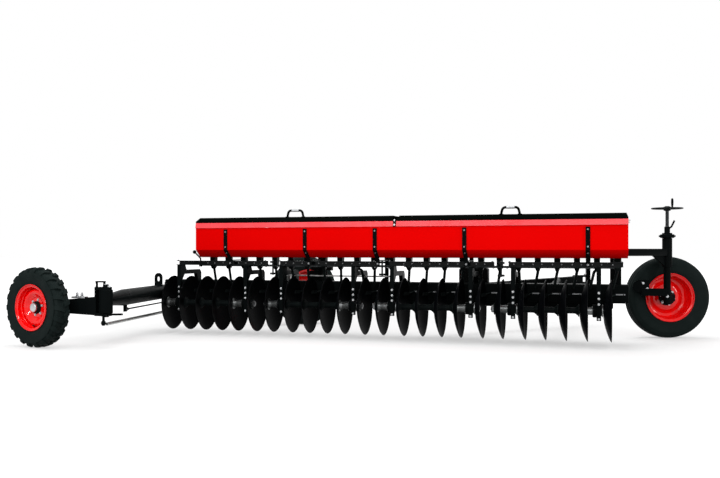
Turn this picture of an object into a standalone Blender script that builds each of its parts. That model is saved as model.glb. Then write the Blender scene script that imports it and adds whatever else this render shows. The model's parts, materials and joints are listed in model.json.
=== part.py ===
"""A trailed one-way disc seed drill: 24 concave discs in four gangs under one long seed hopper.

X runs along the gangs to the side that the discs throw to, Y to the far side, where the drawbar
is, and Z up. While it is modelled, X = 0 is the rim of the first disc, Y = 0 the gang axis and
Z = 0 the floor. At the end all of it moves so that the origin is under the middle of its box.
"""
import math

import bmesh
import bpy
from mathutils import Matrix, Vector

# Sizes of the disc gangs
DISC_DIAMETER = 0.51
DISC_DISH = 0.062
DISC_THICK = 0.006
DISC_TIP_HEIGHT = 0.04
DISC_PITCH = 0.1655
BEARING_PITCH = 0.184
GANG_GAP = 0.168
GANG_COUNT = 4
DISC_SIDES = 16
SPOOL_RADIUS = 0.028
JOURNAL_RADIUS = 0.034
WASHER_RADIUS = 0.055
WASHER_THICK = 0.012
NUT_RADIUS = 0.034
NUT_LENGTH = 0.03

# Sizes of the bearings and hangers
BEARING_RADIUS = 0.054
BEARING_LENGTH = 0.05
HANGER_OFFSET = 0.085
HANGER_WIDTH = 0.036
HANGER_THICK = 0.024
HANGER_TAIL = 0.077
ARM_HEIGHT = 0.04
ARM_DROP = 0.048

# Sizes of the rails and the main beam
RAIL_WIDTH = 0.07
RAIL_HEIGHT = 0.042
RAIL_WALL = 0.006
RAIL_START = 0.04
RAIL_GAP = 0.1175
RAIL_Z = 0.653
BEAM_SIZE = 0.16
BEAM_FRONT = 0.27
BEAM_Z = 0.342
BEAM_START = -0.24
BEAM_END = 4.10
BEAM_CHAMFER = 0.012

# Sizes of the seed hopper
HOPPER_START = 0.30
HOPPER_LENGTH = 3.785
HOPPER_FRONT = -0.15
HOPPER_WIDTH = 0.40
HOPPER_TOP = 1.045
FLANGE_DROP = 0.047
FLANGE_OUT = 0.012
FACE_Z = 0.796
CHAMFER_Z = 0.732
CHAMFER_IN = 0.09
TROUGH_Z = 0.705
TROUGH_WIDTH = 0.16
HOPPER_WALL = 0.003
LID_HEIGHT = 0.05
LID_EAVE = 0.014
LID_SLOPE_X = 0.09
LID_SLOPE_Y = 0.07
LID_GAP = 0.03
HANDLE_WIDTH = 0.17
HANDLE_HEIGHT = 0.06
HANDLE_RADIUS = 0.009
HINGE_RADIUS = 0.007
LATCH_WIDTH = 0.024
LATCH_THICK = 0.008
LATCH_RISE = 0.014
HINGE_LENGTH = 0.12

# Sizes of the hopper's stands and of the metering
STRAP_WIDTH = 0.036
STRAP_THICK = 0.008
STRAP_TOP = 0.985
STAND_XS = (0.603, 1.374, 2.016, 2.790, 3.779)
CUP_COUNT = 24
CUP_SIZE = (0.05, 0.07, 0.085)
CUP_Y = 0.085
FEED_SHAFT = 0.02
TUBE_RADIUS = 0.012
TUBE_END = (0.215, 0.472)

# Sizes of the wheels: radius, width, rim radius, rolling direction in degrees and hub place.
# The hub cap faces 90 degrees to the right of the rolling direction, the axle's arm is on the left.
REAR_WHEEL = dict(radius=0.328, width=0.16, rim=0.19, roll=-15.0, hub=(-0.474, -1.50))
FRONT_WHEEL = dict(radius=0.3675, width=0.165, rim=0.22, roll=198.7, hub=(4.45, 1.01))
LAND_WHEEL = dict(radius=0.3675, width=0.165, rim=0.22, roll=228.0, hub=(0.885, 1.30))
WHEEL_SIDES = 40
LUG_COUNT = 22
LUG_DEPTH = 0.016
GROOVE_DEPTH = 0.010
RIM_SIDES = 23
HUB_RADIUS = 0.055
AXLE_RADIUS = 0.022
RIM_WALL = 0.006
WELL_DEPTH = 0.006
BEAD_DEPTH = 0.018

# Sizes of the wheel mountings and the drawbar
KINGPIN = (0.10, -1.40)
KINGPIN_RADIUS = 0.024
KINGPIN_BOTTOM = 0.264
KINGPIN_HEIGHT = 0.233
SLEEVE_RADIUS = 0.045
REAR_PIPE_RADIUS = 0.07
REAR_PIPE_Z = 0.39
POST = (4.44, 0.82)
POST_RADIUS = 0.03
POST_SLEEVE_RADIUS = 0.042
POST_SLEEVE_Z = 0.644
POST_SLEEVE_HEIGHT = 0.257
POST_COLLAR_HEIGHT = 0.045
FRONT_BEAM_SIZE = 0.063
FRONT_BEAM_Z = 0.743
FRONT_UPRIGHT = (4.0, 0.36)
HANDWHEEL_RADIUS = 0.125
HANDWHEEL_Z = 1.164
LAND_PIPE_RADIUS = 0.038
DRAWBAR_SIZE = 0.10
DRAWBAR_Z = 0.44
HITCH = (3.75, 2.0)
TONGUE_X = 2.45
UPRIGHT_SIZE = 0.09
GUSSET_LENGTH = 0.20
STUB_LENGTH = 0.125
STEER_BALL = (0.139, -1.50)
STEER_BALL_RADIUS = 0.021
STEER_BALL_DROP = 0.05
STEER_TAIL = (0.205, -1.345)
TIE_ROD_START = (-0.011, -1.20, 0.18)
TIE_ROD_END = (-0.165, 0.195)
TIE_ROD_RADIUS = 0.014
LINK_ROD_POINTS = ((0.005, -0.93, 0.285), (-0.14, 0.10, 0.29), (-0.17, 0.25, 0.29))
LINK_ROD_RADIUS = 0.007
REAR_FLANGE_BOTTOM = 0.15
FRONT_ARM_Z = 0.42
FRONT_ARM_LENGTH = 0.21
FRONT_ARM_SIZE = 0.066
SCREW_TUBE_RADIUS = 0.024
SCREW_TUBE_HEIGHT = 0.055
LIFT_TOP = (0.98, 0.55, 0.66)
ADJUSTER_RADIUS = 0.008
ADJUSTER_KNOB = 0.030
ADJUSTER_KNOB_ZS = (0.578, 0.685)
ADJUSTER_SPAN = (0.565, 0.698)
FEED_LEVER_X = 0.24
FEED_LEVER_TIP = (-0.05, 0.776)
FEED_LEVER_BALL = 0.0175
FLANGE_HALF = 0.09
GEAR_LENGTH = 0.26
GEAR_CLEARANCE = 0.12
BRACE_CLEARANCE = 0.44

# Clearances
SEAT_GAP = 0.0003
BEARING_GAP = 0.0003

AXLE_Z = DISC_TIP_HEIGHT + DISC_DIAMETER / 2
RAIL_TOP = RAIL_Z + RAIL_HEIGHT
RAIL_LENGTH = 2 * BEARING_PITCH + 3 * DISC_PITCH + GANG_GAP - RAIL_GAP
BEAM_TOP = BEAM_Z + BEAM_SIZE
BEAM_MID = BEAM_FRONT + BEAM_SIZE / 2
BEAM_BACK = BEAM_FRONT + BEAM_SIZE
HOPPER_MID = HOPPER_FRONT + HOPPER_WIDTH / 2
HOPPER_END = HOPPER_START + HOPPER_LENGTH
LID_SPLIT = (HOPPER_START + HOPPER_END) / 2
GEAR_START = TONGUE_X + FLANGE_HALF + GEAR_CLEARANCE
BRACE_X = GEAR_START + GEAR_LENGTH + BRACE_CLEARANCE + FLANGE_HALF

# Colours: red, green and blue, roughness, metallic
COLOURS = {
    "red_paint": ((0.80, 0.012, 0.004), 0.32, 0.0),
    "black_paint": ((0.012, 0.014, 0.014), 0.38, 0.0),
    "tyre_rubber": ((0.015, 0.015, 0.015), 0.85, 0.0),
    "disc_steel": ((0.05, 0.05, 0.05), 0.42, 0.6),
    "bright_steel": ((0.60, 0.60, 0.60), 0.28, 1.0),
}


def clear_scene():
    """Removes the objects that the file opens with."""
    for obj in list(bpy.data.objects):
        bpy.data.objects.remove(obj, do_unlink=True)


def material(name):
    """The material of this name, made on its first use."""
    if name in bpy.data.materials:
        return bpy.data.materials[name]
    colour, roughness, metallic = COLOURS[name]
    mat = bpy.data.materials.new(name)
    mat.use_nodes = True
    shader = mat.node_tree.nodes["Principled BSDF"]
    shader.inputs["Base Color"].default_value = (*colour, 1.0)
    shader.inputs["Roughness"].default_value = roughness
    shader.inputs["Metallic"].default_value = metallic
    mat.diffuse_color = (*colour, 1.0)
    return mat


def facing_out(bm):
    """A closed solid with its faces pointing out."""
    bmesh.ops.recalc_face_normals(bm, faces=bm.faces)
    if bm.calc_volume(signed=True) < 0:
        bmesh.ops.reverse_faces(bm, faces=bm.faces)
    return bm


def loft(rings, closed_loop=False):
    """A solid through rings of equally many points, capped at its ends unless it closes on itself."""
    bm = bmesh.new()
    rows = [[bm.verts.new(p) for p in ring] for ring in rings]
    pairs = list(zip(rows, rows[1:]))
    if closed_loop:
        pairs.append((rows[-1], rows[0]))
    for low, high in pairs:
        count = len(low)
        for i in range(count):
            j = (i + 1) % count
            bm.faces.new((low[i], low[j], high[j], high[i]))
    if not closed_loop:
        bm.faces.new(list(reversed(rows[0])))
        bm.faces.new(rows[-1])
    return facing_out(bm)


def prism(outline, x0, x1):
    """An outline of (y, z) points extruded along X."""
    return loft([[(x, y, z) for y, z in outline] for x in (x0, x1)])


def plate(outline, z0, z1):
    """An outline of (x, y) points extruded upward."""
    return loft([[(x, y, z) for x, y in outline] for z in (z0, z1)])


def box(x0, x1, y0, y1, z0, z1):
    """A block between two corners."""
    return plate([(x0, y0), (x1, y0), (x1, y1), (x0, y1)], z0, z1)


def tapered(levels):
    """A solid through rectangles (x0, x1, y0, y1, z)."""
    return loft([[(x0, y0, z), (x1, y0, z), (x1, y1, z), (x0, y1, z)] for x0, x1, y0, y1, z in levels])


def pipe(points, radius, sides=12, twist=0.0, end_radius=None):
    """A round or square bar along a path, mitred at its bends, and of another size at its end."""
    path = [Vector(p) for p in points]
    radii = [radius] * (len(path) - 1) + [end_radius or radius]
    rings = []
    for i, point in enumerate(path):
        before = (point - path[i - 1]).normalized() if i else None
        after = (path[i + 1] - point).normalized() if i < len(path) - 1 else None
        tangent = ((before or after) + (after or before)).normalized()
        stretch = 1 / max(0.3, tangent.dot(before or after))
        side = Vector((0, 0, 1)).cross(tangent)
        if side.length < 0.2:
            side = Vector((1, 0, 0))
        side.normalize()
        up = tangent.cross(side).normalized()
        ring = []
        for k in range(sides):
            a = 2 * math.pi * k / sides + twist
            ring.append(point + side * (radii[i] * stretch * math.cos(a)) + up * (radii[i] * math.sin(a)))
        rings.append(ring)
    return loft(rings)


def lathe(profile, sides):
    """A profile of (x, radius) points turned about the X axis; its two ends lie on the axis."""
    bm = bmesh.new()
    rows = []
    for x, r in profile:
        if r == 0:
            rows.append([bm.verts.new((x, 0, 0))])
            continue
        ring = []
        for k in range(sides):
            a = 2 * math.pi * k / sides
            ring.append(bm.verts.new((x, r * math.sin(a), -r * math.cos(a))))
        rows.append(ring)
    for a, b in zip(rows, rows[1:]):
        for k in range(sides):
            j = (k + 1) % sides
            corners = [a[k % len(a)], a[j % len(a)], b[j % len(b)], b[k % len(b)]]
            bm.faces.new(list(dict.fromkeys(corners)))
    return facing_out(bm)


def ring_of(profiles):
    """Closed profiles of (x, radius) points set evenly round the X axis into a ring."""
    rings = []
    for k, profile in enumerate(profiles):
        a = 2 * math.pi * k / len(profiles)
        rings.append([(x, r * math.sin(a), -r * math.cos(a)) for x, r in profile])
    return loft(rings, closed_loop=True)


def ring(profile, sides):
    """A closed profile turned about the X axis into a ring."""
    return ring_of([profile] * sides)


def tube(inner, outer, length, sides=20):
    """A ring of plain rectangular section about the X axis, starting at X = 0."""
    return ring([(0, inner), (length, inner), (length, outer), (0, outer)], sides)


def rod(radius, length, sides=16):
    """A solid cylinder along +X from the origin."""
    return lathe([(0, 0), (0, radius), (length, radius), (length, 0)], sides)


def moved(bm, at=(0, 0, 0), turn=None):
    """The solid turned and then shifted."""
    matrix = Matrix.Translation(at)
    if turn is not None:
        matrix = matrix @ turn
    bm.transform(matrix)
    return bm


def aimed(start, end):
    """Turns the X axis along a line."""
    way = Vector(end) - Vector(start)
    return way.to_track_quat("X", "Z").to_matrix().to_4x4()


def bar(start, end, half, z0, z1):
    """A flat bar between two (x, y) points."""
    a, b = Vector(start), Vector(end)
    along = (b - a).normalized()
    side = Vector((-along.y, along.x)) * half
    return plate([tuple(a - side), tuple(b - side), tuple(b + along * half * 0.7), tuple(b + side),
                  tuple(a + side)], z0, z1)


def upright():
    """Turns the X axis up."""
    return Matrix.Rotation(-math.pi / 2, 4, "Y")


def heading(degrees):
    """Turns the X axis to a compass heading in the ground plane."""
    return Matrix.Rotation(math.radians(degrees), 4, "Z")


def together(solids):
    """Solids that do not touch, as one tool."""
    first = solids[0]
    for other in solids[1:]:
        mesh = bpy.data.meshes.new("tool")
        other.to_mesh(mesh)
        first.from_mesh(mesh)
        bpy.data.meshes.remove(mesh)
        other.free()
    return first


def add_object(name, bm):
    """A mesh object from a solid."""
    mesh = bpy.data.meshes.new(name)
    bm.to_mesh(mesh)
    bm.free()
    obj = bpy.data.objects.new(name, mesh)
    bpy.context.scene.collection.objects.link(obj)
    return obj


def node(name, paint, solids, cuts=(), at=(0, 0, 0), turn=0.0, parent=None, local=False):
    """One named piece: its solids fused, its cuts taken out, with its origin at a place.

    The solids are in machine coordinates unless local is set, and then they are about the origin.
    """
    base = add_object(name + "_base", solids[0])
    tools = []
    for operation, group in (("UNION", solids[1:]), ("DIFFERENCE", cuts)):
        for bm in group:
            tool = add_object(name + "_tool", bm)
            tools.append(tool)
            step = base.modifiers.new("step", "BOOLEAN")
            step.operation = operation
            step.solver = "EXACT"
            step.object = tool
    bpy.context.view_layer.update()
    graph = bpy.context.evaluated_depsgraph_get()
    mesh = bpy.data.meshes.new_from_object(base.evaluated_get(graph))
    for used in [base] + tools:
        bpy.data.objects.remove(used, do_unlink=True)
    mesh.name = name
    placing = Matrix.Translation(at) @ heading(turn)
    if not local:
        mesh.transform(placing.inverted())
    mesh.materials.clear()
    mesh.materials.append(material(paint))
    mesh.shade_smooth()
    mesh.set_sharp_from_angle(angle=math.radians(40))
    obj = bpy.data.objects.new(name, mesh)
    bpy.context.scene.collection.objects.link(obj)
    obj.matrix_world = placing
    attach(obj, parent)
    return obj


def attach(obj, parent):
    """Makes an object ride on another from where it is now."""
    if parent is None:
        return
    bpy.context.view_layer.update()
    obj.parent = parent
    obj.matrix_parent_inverse = parent.matrix_world.inverted()


def offset_path(points, distance):
    """A path of (y, z) points moved sideways, to its left when positive, with mitred corners."""
    path = [Vector(p) for p in points]
    result = []
    for i, point in enumerate(path):
        before = (point - path[i - 1]).normalized() if i else None
        after = (path[i + 1] - point).normalized() if i < len(path) - 1 else None
        tangent = ((before or after) + (after or before)).normalized()
        normal = Vector((-tangent.y, tangent.x))
        shift = distance / tangent.dot(before or after)
        result.append(tuple(point + normal * shift))
    return result


def strip(points, thickness, x, width):
    """A flat bar that follows a path of (y, z) points, its middle at x."""
    left = offset_path(points, thickness / 2)
    right = offset_path(points, -thickness / 2)
    return prism(left + list(reversed(right)), x - width / 2, x + width / 2)


def web(outline, base, direction, thickness):
    """An upright plate: its outline's points are (distance along a direction from base, height)."""
    side = Vector((-direction.y, direction.x, 0)) * (thickness / 2)
    return loft([[tuple(base + direction * a + side * s + Vector((0, 0, h))) for a, h in outline]
                 for s in (-1, 1)])


def disc_xs():
    """The rim positions of each gang's discs."""
    pitches = (BEARING_PITCH, DISC_PITCH, DISC_PITCH, DISC_PITCH, BEARING_PITCH)
    gangs = []
    x = 0.0
    for _ in range(GANG_COUNT):
        xs = [x]
        for pitch in pitches:
            xs.append(xs[-1] + pitch)
        gangs.append(xs)
        x = xs[-1] + GANG_GAP
    return gangs


def hanger_xs():
    """The middles of the hangers: past the first and the fifth disc of each gang."""
    return [xs[i] + HANGER_OFFSET for xs in disc_xs() for i in (0, 4)]


def dish_x(radius, hub_side):
    """How far a disc's face lies from its rim plane at a radius."""
    rim = DISC_DIAMETER / 2
    back = DISC_THICK if hub_side else 0.0
    return -DISC_DISH * (1 - (radius / rim) ** 2) - back


def gang_profile(xs):
    """The turned outline of one gang, from its bolt head to its end nut."""
    rim = DISC_DIAMETER / 2
    middle = rim * 0.64
    profile = [(xs[0] - DISC_DISH - DISC_THICK - WASHER_THICK - NUT_LENGTH, 0.0)]
    profile.append((profile[0][0], NUT_RADIUS))
    for i, x in enumerate(xs):
        journal = i in (1, len(xs) - 1)
        near = NUT_RADIUS if i == 0 else (JOURNAL_RADIUS if journal else SPOOL_RADIUS)
        far_journal = i in (0, len(xs) - 2)
        far = NUT_RADIUS if i == len(xs) - 1 else (JOURNAL_RADIUS if far_journal else SPOOL_RADIUS)
        hub = x - DISC_DISH
        profile.append((hub - DISC_THICK - WASHER_THICK, near))
        profile.append((x + dish_x(WASHER_RADIUS, True), WASHER_RADIUS))
        profile.append((x + dish_x(middle, True), middle))
        profile.append((x, rim))
        profile.append((x + dish_x(middle, False), middle))
        profile.append((x + dish_x(WASHER_RADIUS, False), WASHER_RADIUS))
        profile.append((hub + WASHER_THICK, far))
    profile.append((xs[-1] - DISC_DISH + WASHER_THICK + NUT_LENGTH, NUT_RADIUS))
    profile.append((profile[-1][0], 0.0))
    return profile


def make_gangs(parent):
    """The four disc gangs, each turning on its own axis."""
    for number, xs in enumerate(disc_xs(), start=1):
        start = xs[0]
        profile = gang_profile([x - start for x in xs])
        node(f"gang_{number}", "disc_steel", [lathe(profile, DISC_SIDES)],
             at=(start, 0, AXLE_Z), parent=parent, local=True)


def make_hangers(parent):
    """The C-shaped hangers: from the main beam over the discs and down to the gang's bearing."""
    back = -BEARING_RADIUS + 0.008
    front = back - HANGER_THICK
    seat = RAIL_Z - SEAT_GAP
    arm_top = RAIL_Z - ARM_DROP
    arm_low = arm_top - ARM_HEIGHT
    foot = BEAM_TOP + SEAT_GAP
    foot_back = BEAM_BACK - 0.035
    leg = foot_back - 0.075
    outline = [(front, AXLE_Z - HANGER_TAIL), (front, seat), (RAIL_WIDTH / 2, seat),
               (RAIL_WIDTH / 2 + 0.03, arm_top), (foot_back - 0.03, arm_top),
               (foot_back, arm_top - 0.03), (foot_back, foot), (leg, foot),
               (leg - 0.03, arm_low), (back + 0.07, arm_low), (back, arm_low - 0.07),
               (back, AXLE_Z - HANGER_TAIL)]
    bore = (JOURNAL_RADIUS + BEARING_GAP) / math.cos(math.pi / DISC_SIDES)
    for number, x in enumerate(hanger_xs(), start=1):
        bar = prism(outline, x - HANGER_WIDTH / 2, x + HANGER_WIDTH / 2)
        housing = moved(tube(bore, BEARING_RADIUS, BEARING_LENGTH, DISC_SIDES),
                        at=(x - HANGER_WIDTH / 2 - 0.027, 0, AXLE_Z))
        node(f"hanger_{number}", "black_paint", [bar, housing], at=(x, 0, RAIL_Z), parent=parent)


def make_rails(parent):
    """The rails over the gangs, channels open to the front."""
    half = RAIL_WIDTH / 2
    low, high = RAIL_Z, RAIL_TOP
    outline = [(-half, low), (half, low), (half, high), (-half, high),
               (-half, high - RAIL_WALL), (half - RAIL_WALL, high - RAIL_WALL),
               (half - RAIL_WALL, low + RAIL_WALL), (-half, low + RAIL_WALL)]
    for number, xs in enumerate(disc_xs(), start=1):
        start = xs[0] + RAIL_START
        node(f"rail_{number}", "black_paint", [prism(outline, start, start + RAIL_LENGTH)],
             at=(start, 0, RAIL_Z), parent=parent)


def make_beam(parent):
    """The square main beam behind the discs."""
    c = BEAM_CHAMFER
    y0, y1, z0, z1 = BEAM_FRONT, BEAM_BACK, BEAM_Z, BEAM_TOP
    outline = [(y0 + c, z0), (y1 - c, z0), (y1, z0 + c), (y1, z1 - c),
               (y1 - c, z1), (y0 + c, z1), (y0, z1 - c), (y0, z0 + c)]
    node("main_beam", "black_paint", [prism(outline, BEAM_START, BEAM_END)],
         at=(BEAM_START, BEAM_MID, BEAM_Z), parent=parent)


def hopper_side(outside=0.0):
    """The front outline of the hopper below its flange, from the top down, moved outward."""
    points = [(HOPPER_FRONT, HOPPER_TOP - FLANGE_DROP), (HOPPER_FRONT, FACE_Z),
              (HOPPER_FRONT + CHAMFER_IN, CHAMFER_Z), (HOPPER_MID - TROUGH_WIDTH / 2, TROUGH_Z)]
    return offset_path(points, -outside) if outside else points


def mirrored(points):
    """Points of the front outline on the back of the hopper."""
    return [(2 * HOPPER_MID - y, z) for y, z in points]


def make_hopper(parent):
    """The seed hopper: two folded sheets that meet under it, two end plates, a divider and a latch."""
    edge = [(HOPPER_FRONT, HOPPER_TOP), (HOPPER_FRONT - FLANGE_OUT, HOPPER_TOP - FLANGE_DROP)]
    middle = HOPPER_MID - SEAT_GAP / 2
    path = [edge[0]] + hopper_side()[1:] + [(middle, TROUGH_Z)]
    outline = edge + hopper_side() + [(middle, TROUGH_Z)] + list(reversed(offset_path(path, HOPPER_WALL)))
    for name, points in (("hopper_front", outline), ("hopper_back", mirrored(outline))):
        node(name, "red_paint", [prism(points, HOPPER_START, HOPPER_END)],
             at=(HOPPER_START, points[0][0], HOPPER_TOP), parent=parent)
    inside = offset_path(path, HOPPER_WALL + SEAT_GAP)[:-1]
    section = inside + list(reversed(mirrored(inside)))
    for name, x in (("hopper_left_end", HOPPER_START), ("hopper_right_end", HOPPER_END - HOPPER_WALL),
                    ("hopper_divider", LID_SPLIT - HOPPER_WALL / 2)):
        node(name, "red_paint", [prism(section, x, x + HOPPER_WALL)], at=(x, HOPPER_MID, HOPPER_TOP),
             parent=parent)
    seat = offset_path([edge[0], edge[1]], -SEAT_GAP)
    latch_top = HOPPER_TOP + LATCH_RISE
    catch = seat + [(seat[1][0] - LATCH_THICK, seat[1][1]), (seat[0][0] - LATCH_THICK, latch_top),
                    (seat[0][0], latch_top)]
    node("centre_latch", "black_paint",
         [prism(catch, LID_SPLIT - LATCH_WIDTH / 2, LID_SPLIT + LATCH_WIDTH / 2)],
         at=(LID_SPLIT, HOPPER_FRONT, HOPPER_TOP), parent=parent)


def lid_levels(x0, x1, shrink, base_drop):
    """The rectangles that the lid's skin passes through, inner when shrunk by its wall."""
    y0, y1 = HOPPER_FRONT, HOPPER_FRONT + HOPPER_WIDTH
    z = HOPPER_TOP + SEAT_GAP
    s = shrink
    return [(x0 + s, x1 - s, y0 + s, y1 - s, z - base_drop),
            (x0 + s, x1 - s, y0 + s, y1 - s, z + LID_EAVE - s * 0.4),
            (x0 + LID_SLOPE_X + s * 0.6, x1 - LID_SLOPE_X - s * 0.6,
             y0 + LID_SLOPE_Y + s * 0.6, y1 - LID_SLOPE_Y - s * 0.6, z + LID_HEIGHT - s)]


def lid_handle(x):
    """The bent handle on top of a lid."""
    y = HOPPER_FRONT + LID_SLOPE_Y + 0.02
    z = HOPPER_TOP + LID_HEIGHT - HOPPER_WALL / 2
    half, top = HANDLE_WIDTH / 2, z + HANDLE_HEIGHT
    return pipe([(x - half, y, z), (x - half * 0.75, y, top), (x + half * 0.75, y, top),
                 (x + half, y, z)], HANDLE_RADIUS, sides=8)


def make_lids(parent):
    """The two hinged lids, each turning about the hopper's rear edge."""
    hinge = (HOPPER_FRONT + HOPPER_WIDTH + HINGE_RADIUS * 0.8, HOPPER_TOP + SEAT_GAP + HINGE_RADIUS)
    spans = (("lid_left", HOPPER_START, LID_SPLIT - LID_GAP / 2),
             ("lid_right", LID_SPLIT + LID_GAP / 2, HOPPER_END))
    for name, x0, x1 in spans:
        middle = (x0 + x1) / 2
        skin = tapered(lid_levels(x0, x1, 0.0, 0.0))
        inside = tapered(lid_levels(x0, x1, HOPPER_WALL, 0.02))
        barrels = [moved(rod(HINGE_RADIUS, HINGE_LENGTH, 10), at=(x - HINGE_LENGTH / 2, *hinge))
                   for x in (x0 + 0.2, middle, x1 - 0.2)]
        node(name, "black_paint", [skin, together(barrels), lid_handle(middle)], cuts=[inside],
             at=(middle, *hinge), parent=parent)


def make_stands(parent):
    """The five stands: a strap up the hopper's front, a saddle on the rail, and a leg to the beam."""
    out = STRAP_THICK / 2 + SEAT_GAP
    side = hopper_side(out)
    front_y = -RAIL_WIDTH / 2 - out
    saddle_z = (RAIL_TOP + TROUGH_Z) / 2
    front = [(side[0][0], STRAP_TOP), side[1], side[2], (front_y, RAIL_TOP + 0.004),
             (front_y, RAIL_Z + 0.002)]
    leg_y = BEAM_FRONT + 0.045
    back_side = mirrored(side)
    leg = [(back_side[0][0], STRAP_TOP), back_side[1], (leg_y, RAIL_TOP), (leg_y, BEAM_TOP + SEAT_GAP)]
    for number, x in enumerate(STAND_XS, start=1):
        saddle = box(x - STRAP_WIDTH / 2, x + STRAP_WIDTH / 2, front_y - STRAP_THICK / 4,
                     leg_y + STRAP_THICK / 4, saddle_z - 0.004, saddle_z + 0.004)
        node(f"hopper_stand_{number}", "black_paint",
             [strip(front, STRAP_THICK, x, STRAP_WIDTH), saddle, strip(leg, STRAP_THICK, x, STRAP_WIDTH)],
             at=(x, 0, RAIL_TOP), parent=parent)


def cup_xs():
    """The middles of the metering cups, evenly along the hopper."""
    pitch = HOPPER_LENGTH / CUP_COUNT
    return [HOPPER_START + pitch * (i + 0.5) for i in range(CUP_COUNT)]


def beside_hangers(x):
    """A seed tube's place: moved aside where a hanger's arm is in its way."""
    room = HANGER_WIDTH / 2 + TUBE_RADIUS + 0.007
    for hanger in hanger_xs():
        if abs(x - hanger) < room:
            return hanger + math.copysign(room, x - hanger)
    return x


def make_metering(parent):
    """Two rows of metering cups on their feed shafts, each cup with its seed tube."""
    xs = cup_xs()
    half = CUP_COUNT // 2
    wide, deep, high = CUP_SIZE
    top = TROUGH_Z - SEAT_GAP
    low = top - high
    shaft_z = low + 0.03
    for name, row in (("metering_left", xs[:half]), ("metering_right", xs[half:])):
        shaft = box(row[0], row[-1], CUP_Y - FEED_SHAFT / 2, CUP_Y + FEED_SHAFT / 2,
                    shaft_z - FEED_SHAFT / 2, shaft_z + FEED_SHAFT / 2)
        cups, tubes = [], []
        for x in row:
            levels = ((wide * 0.3, deep * 0.25, low), (wide / 2, deep / 2, low + 0.03),
                      (wide / 2, deep / 2, top))
            cups.append(tapered([(x - a, x + a, CUP_Y - b, CUP_Y + b, z) for a, b, z in levels]))
            aside = beside_hangers(x)
            tubes.append(pipe([(x, CUP_Y, low + 0.036), (aside, CUP_Y + 0.01, low + 0.004),
                               (aside, *TUBE_END)], TUBE_RADIUS, sides=6))
        solids = [shaft, together(cups), together(tubes)]
        if name == "metering_left":
            solids += feed_lever(row[0], shaft_z)
        node(name, "black_paint", solids, at=(row[0], CUP_Y, top), parent=parent)


def feed_lever(start, shaft_z):
    """The seed rate's lever on the feed shaft's end, beside the hopper."""
    tip = Vector((FEED_LEVER_X, *FEED_LEVER_TIP))
    foot = Vector((FEED_LEVER_X, CUP_Y, shaft_z))
    bend = Vector((FEED_LEVER_X, CUP_Y, RAIL_TOP + 0.02))
    end = pipe([(FEED_LEVER_X - 0.012, CUP_Y, shaft_z), (start, CUP_Y, shaft_z)], FEED_SHAFT * 0.35, 8)
    ball = FEED_LEVER_BALL
    slant = ball * 0.7
    knob = moved(lathe([(-ball, 0), (-slant, slant), (0, ball), (slant, slant), (ball, 0)], 12),
                 at=tip, turn=aimed(bend, tip))
    return [end, pipe([foot, bend, tip], 0.007, 8), knob]


def make_rail_links(parent):
    """The plates that join the rails' ends, each with its adjuster: a screw with two star knobs."""
    ends = [xs[0] + RAIL_START for xs in disc_xs()]
    top = RAIL_Z - SEAT_GAP
    for number, (left, right) in enumerate(zip(ends, ends[1:]), start=1):
        left += RAIL_LENGTH
        middle = (left + right) / 2
        link = box(left - 0.03, right + 0.02, -RAIL_WIDTH * 0.4, RAIL_WIDTH * 0.4, top - 0.008, top)
        low, high = ADJUSTER_SPAN
        screw = moved(rod(ADJUSTER_RADIUS, high - low, 10), at=(middle, 0, low), turn=upright())
        knobs = []
        for z in ADJUSTER_KNOB_ZS:
            points = []
            for k in range(12):
                r = ADJUSTER_KNOB * (1.0 if k % 2 == 0 else 0.72)
                a = math.pi * k / 6
                points.append((middle + r * math.cos(a), r * math.sin(a)))
            knobs.append(plate(points, z - 0.009, z + 0.009))
        node(f"rail_link_{number}", "black_paint", [link, screw, together(knobs)],
             at=(middle, 0, top), parent=parent)


def wheel_empty(name, wheel, parent):
    """The empty on a wheel's axis; its X axis points out of the hub cap's side."""
    empty = bpy.data.objects.new(name, None)
    bpy.context.scene.collection.objects.link(empty)
    empty.matrix_world = Matrix.Translation((*wheel["hub"], wheel["radius"])) @ heading(wheel["roll"] - 90)
    attach(empty, parent)
    return empty


def rim_profile(wheel):
    """The rim, wheel disc and hub in one turned outline, open behind for the stub axle."""
    w, r = wheel["width"] / 2, wheel["rim"]
    seat = r - BEAD_DEPTH
    bore = (AXLE_RADIUS + BEARING_GAP) / math.cos(math.pi / RIM_SIDES)
    t = RIM_WALL
    return [(w * 0.62 + 0.006, 0), (w * 0.62, HUB_RADIUS * 0.62), (w * 0.2, HUB_RADIUS),
            (0.008, HUB_RADIUS * 1.3), (0.03, seat * 0.72), (w * 0.1, seat - 0.026),
            (w * 0.66, seat - t), (w * 0.93, r), (w * 0.80, seat), (w * 0.1, seat - WELL_DEPTH),
            (-w * 0.80, seat), (-w * 0.93, r),
            (-w * 0.66, seat - t), (-w * 0.02, seat - 0.03), (0.03 - t, seat * 0.70),
            (0.0, HUB_RADIUS * 1.3), (-w * 0.75, HUB_RADIUS * 0.9), (-w * 0.75, bore),
            (w * 0.3, bore), (w * 0.3 + 0.006, 0)]


def sidewall(wheel, sides):
    """The tyre's section from its bead to the widest point, on one side, clear of the rim's corners."""
    w, big, r = wheel["width"] / 2, wheel["radius"], wheel["rim"]
    mid = (big + r) / 2
    bead = (r - BEAD_DEPTH + SEAT_GAP) / math.cos(math.pi / sides)
    return [(w * 0.78, bead), (w * 0.80, r - 0.004), (w * 0.97, mid - 0.02), (w, mid + 0.015)]


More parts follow.
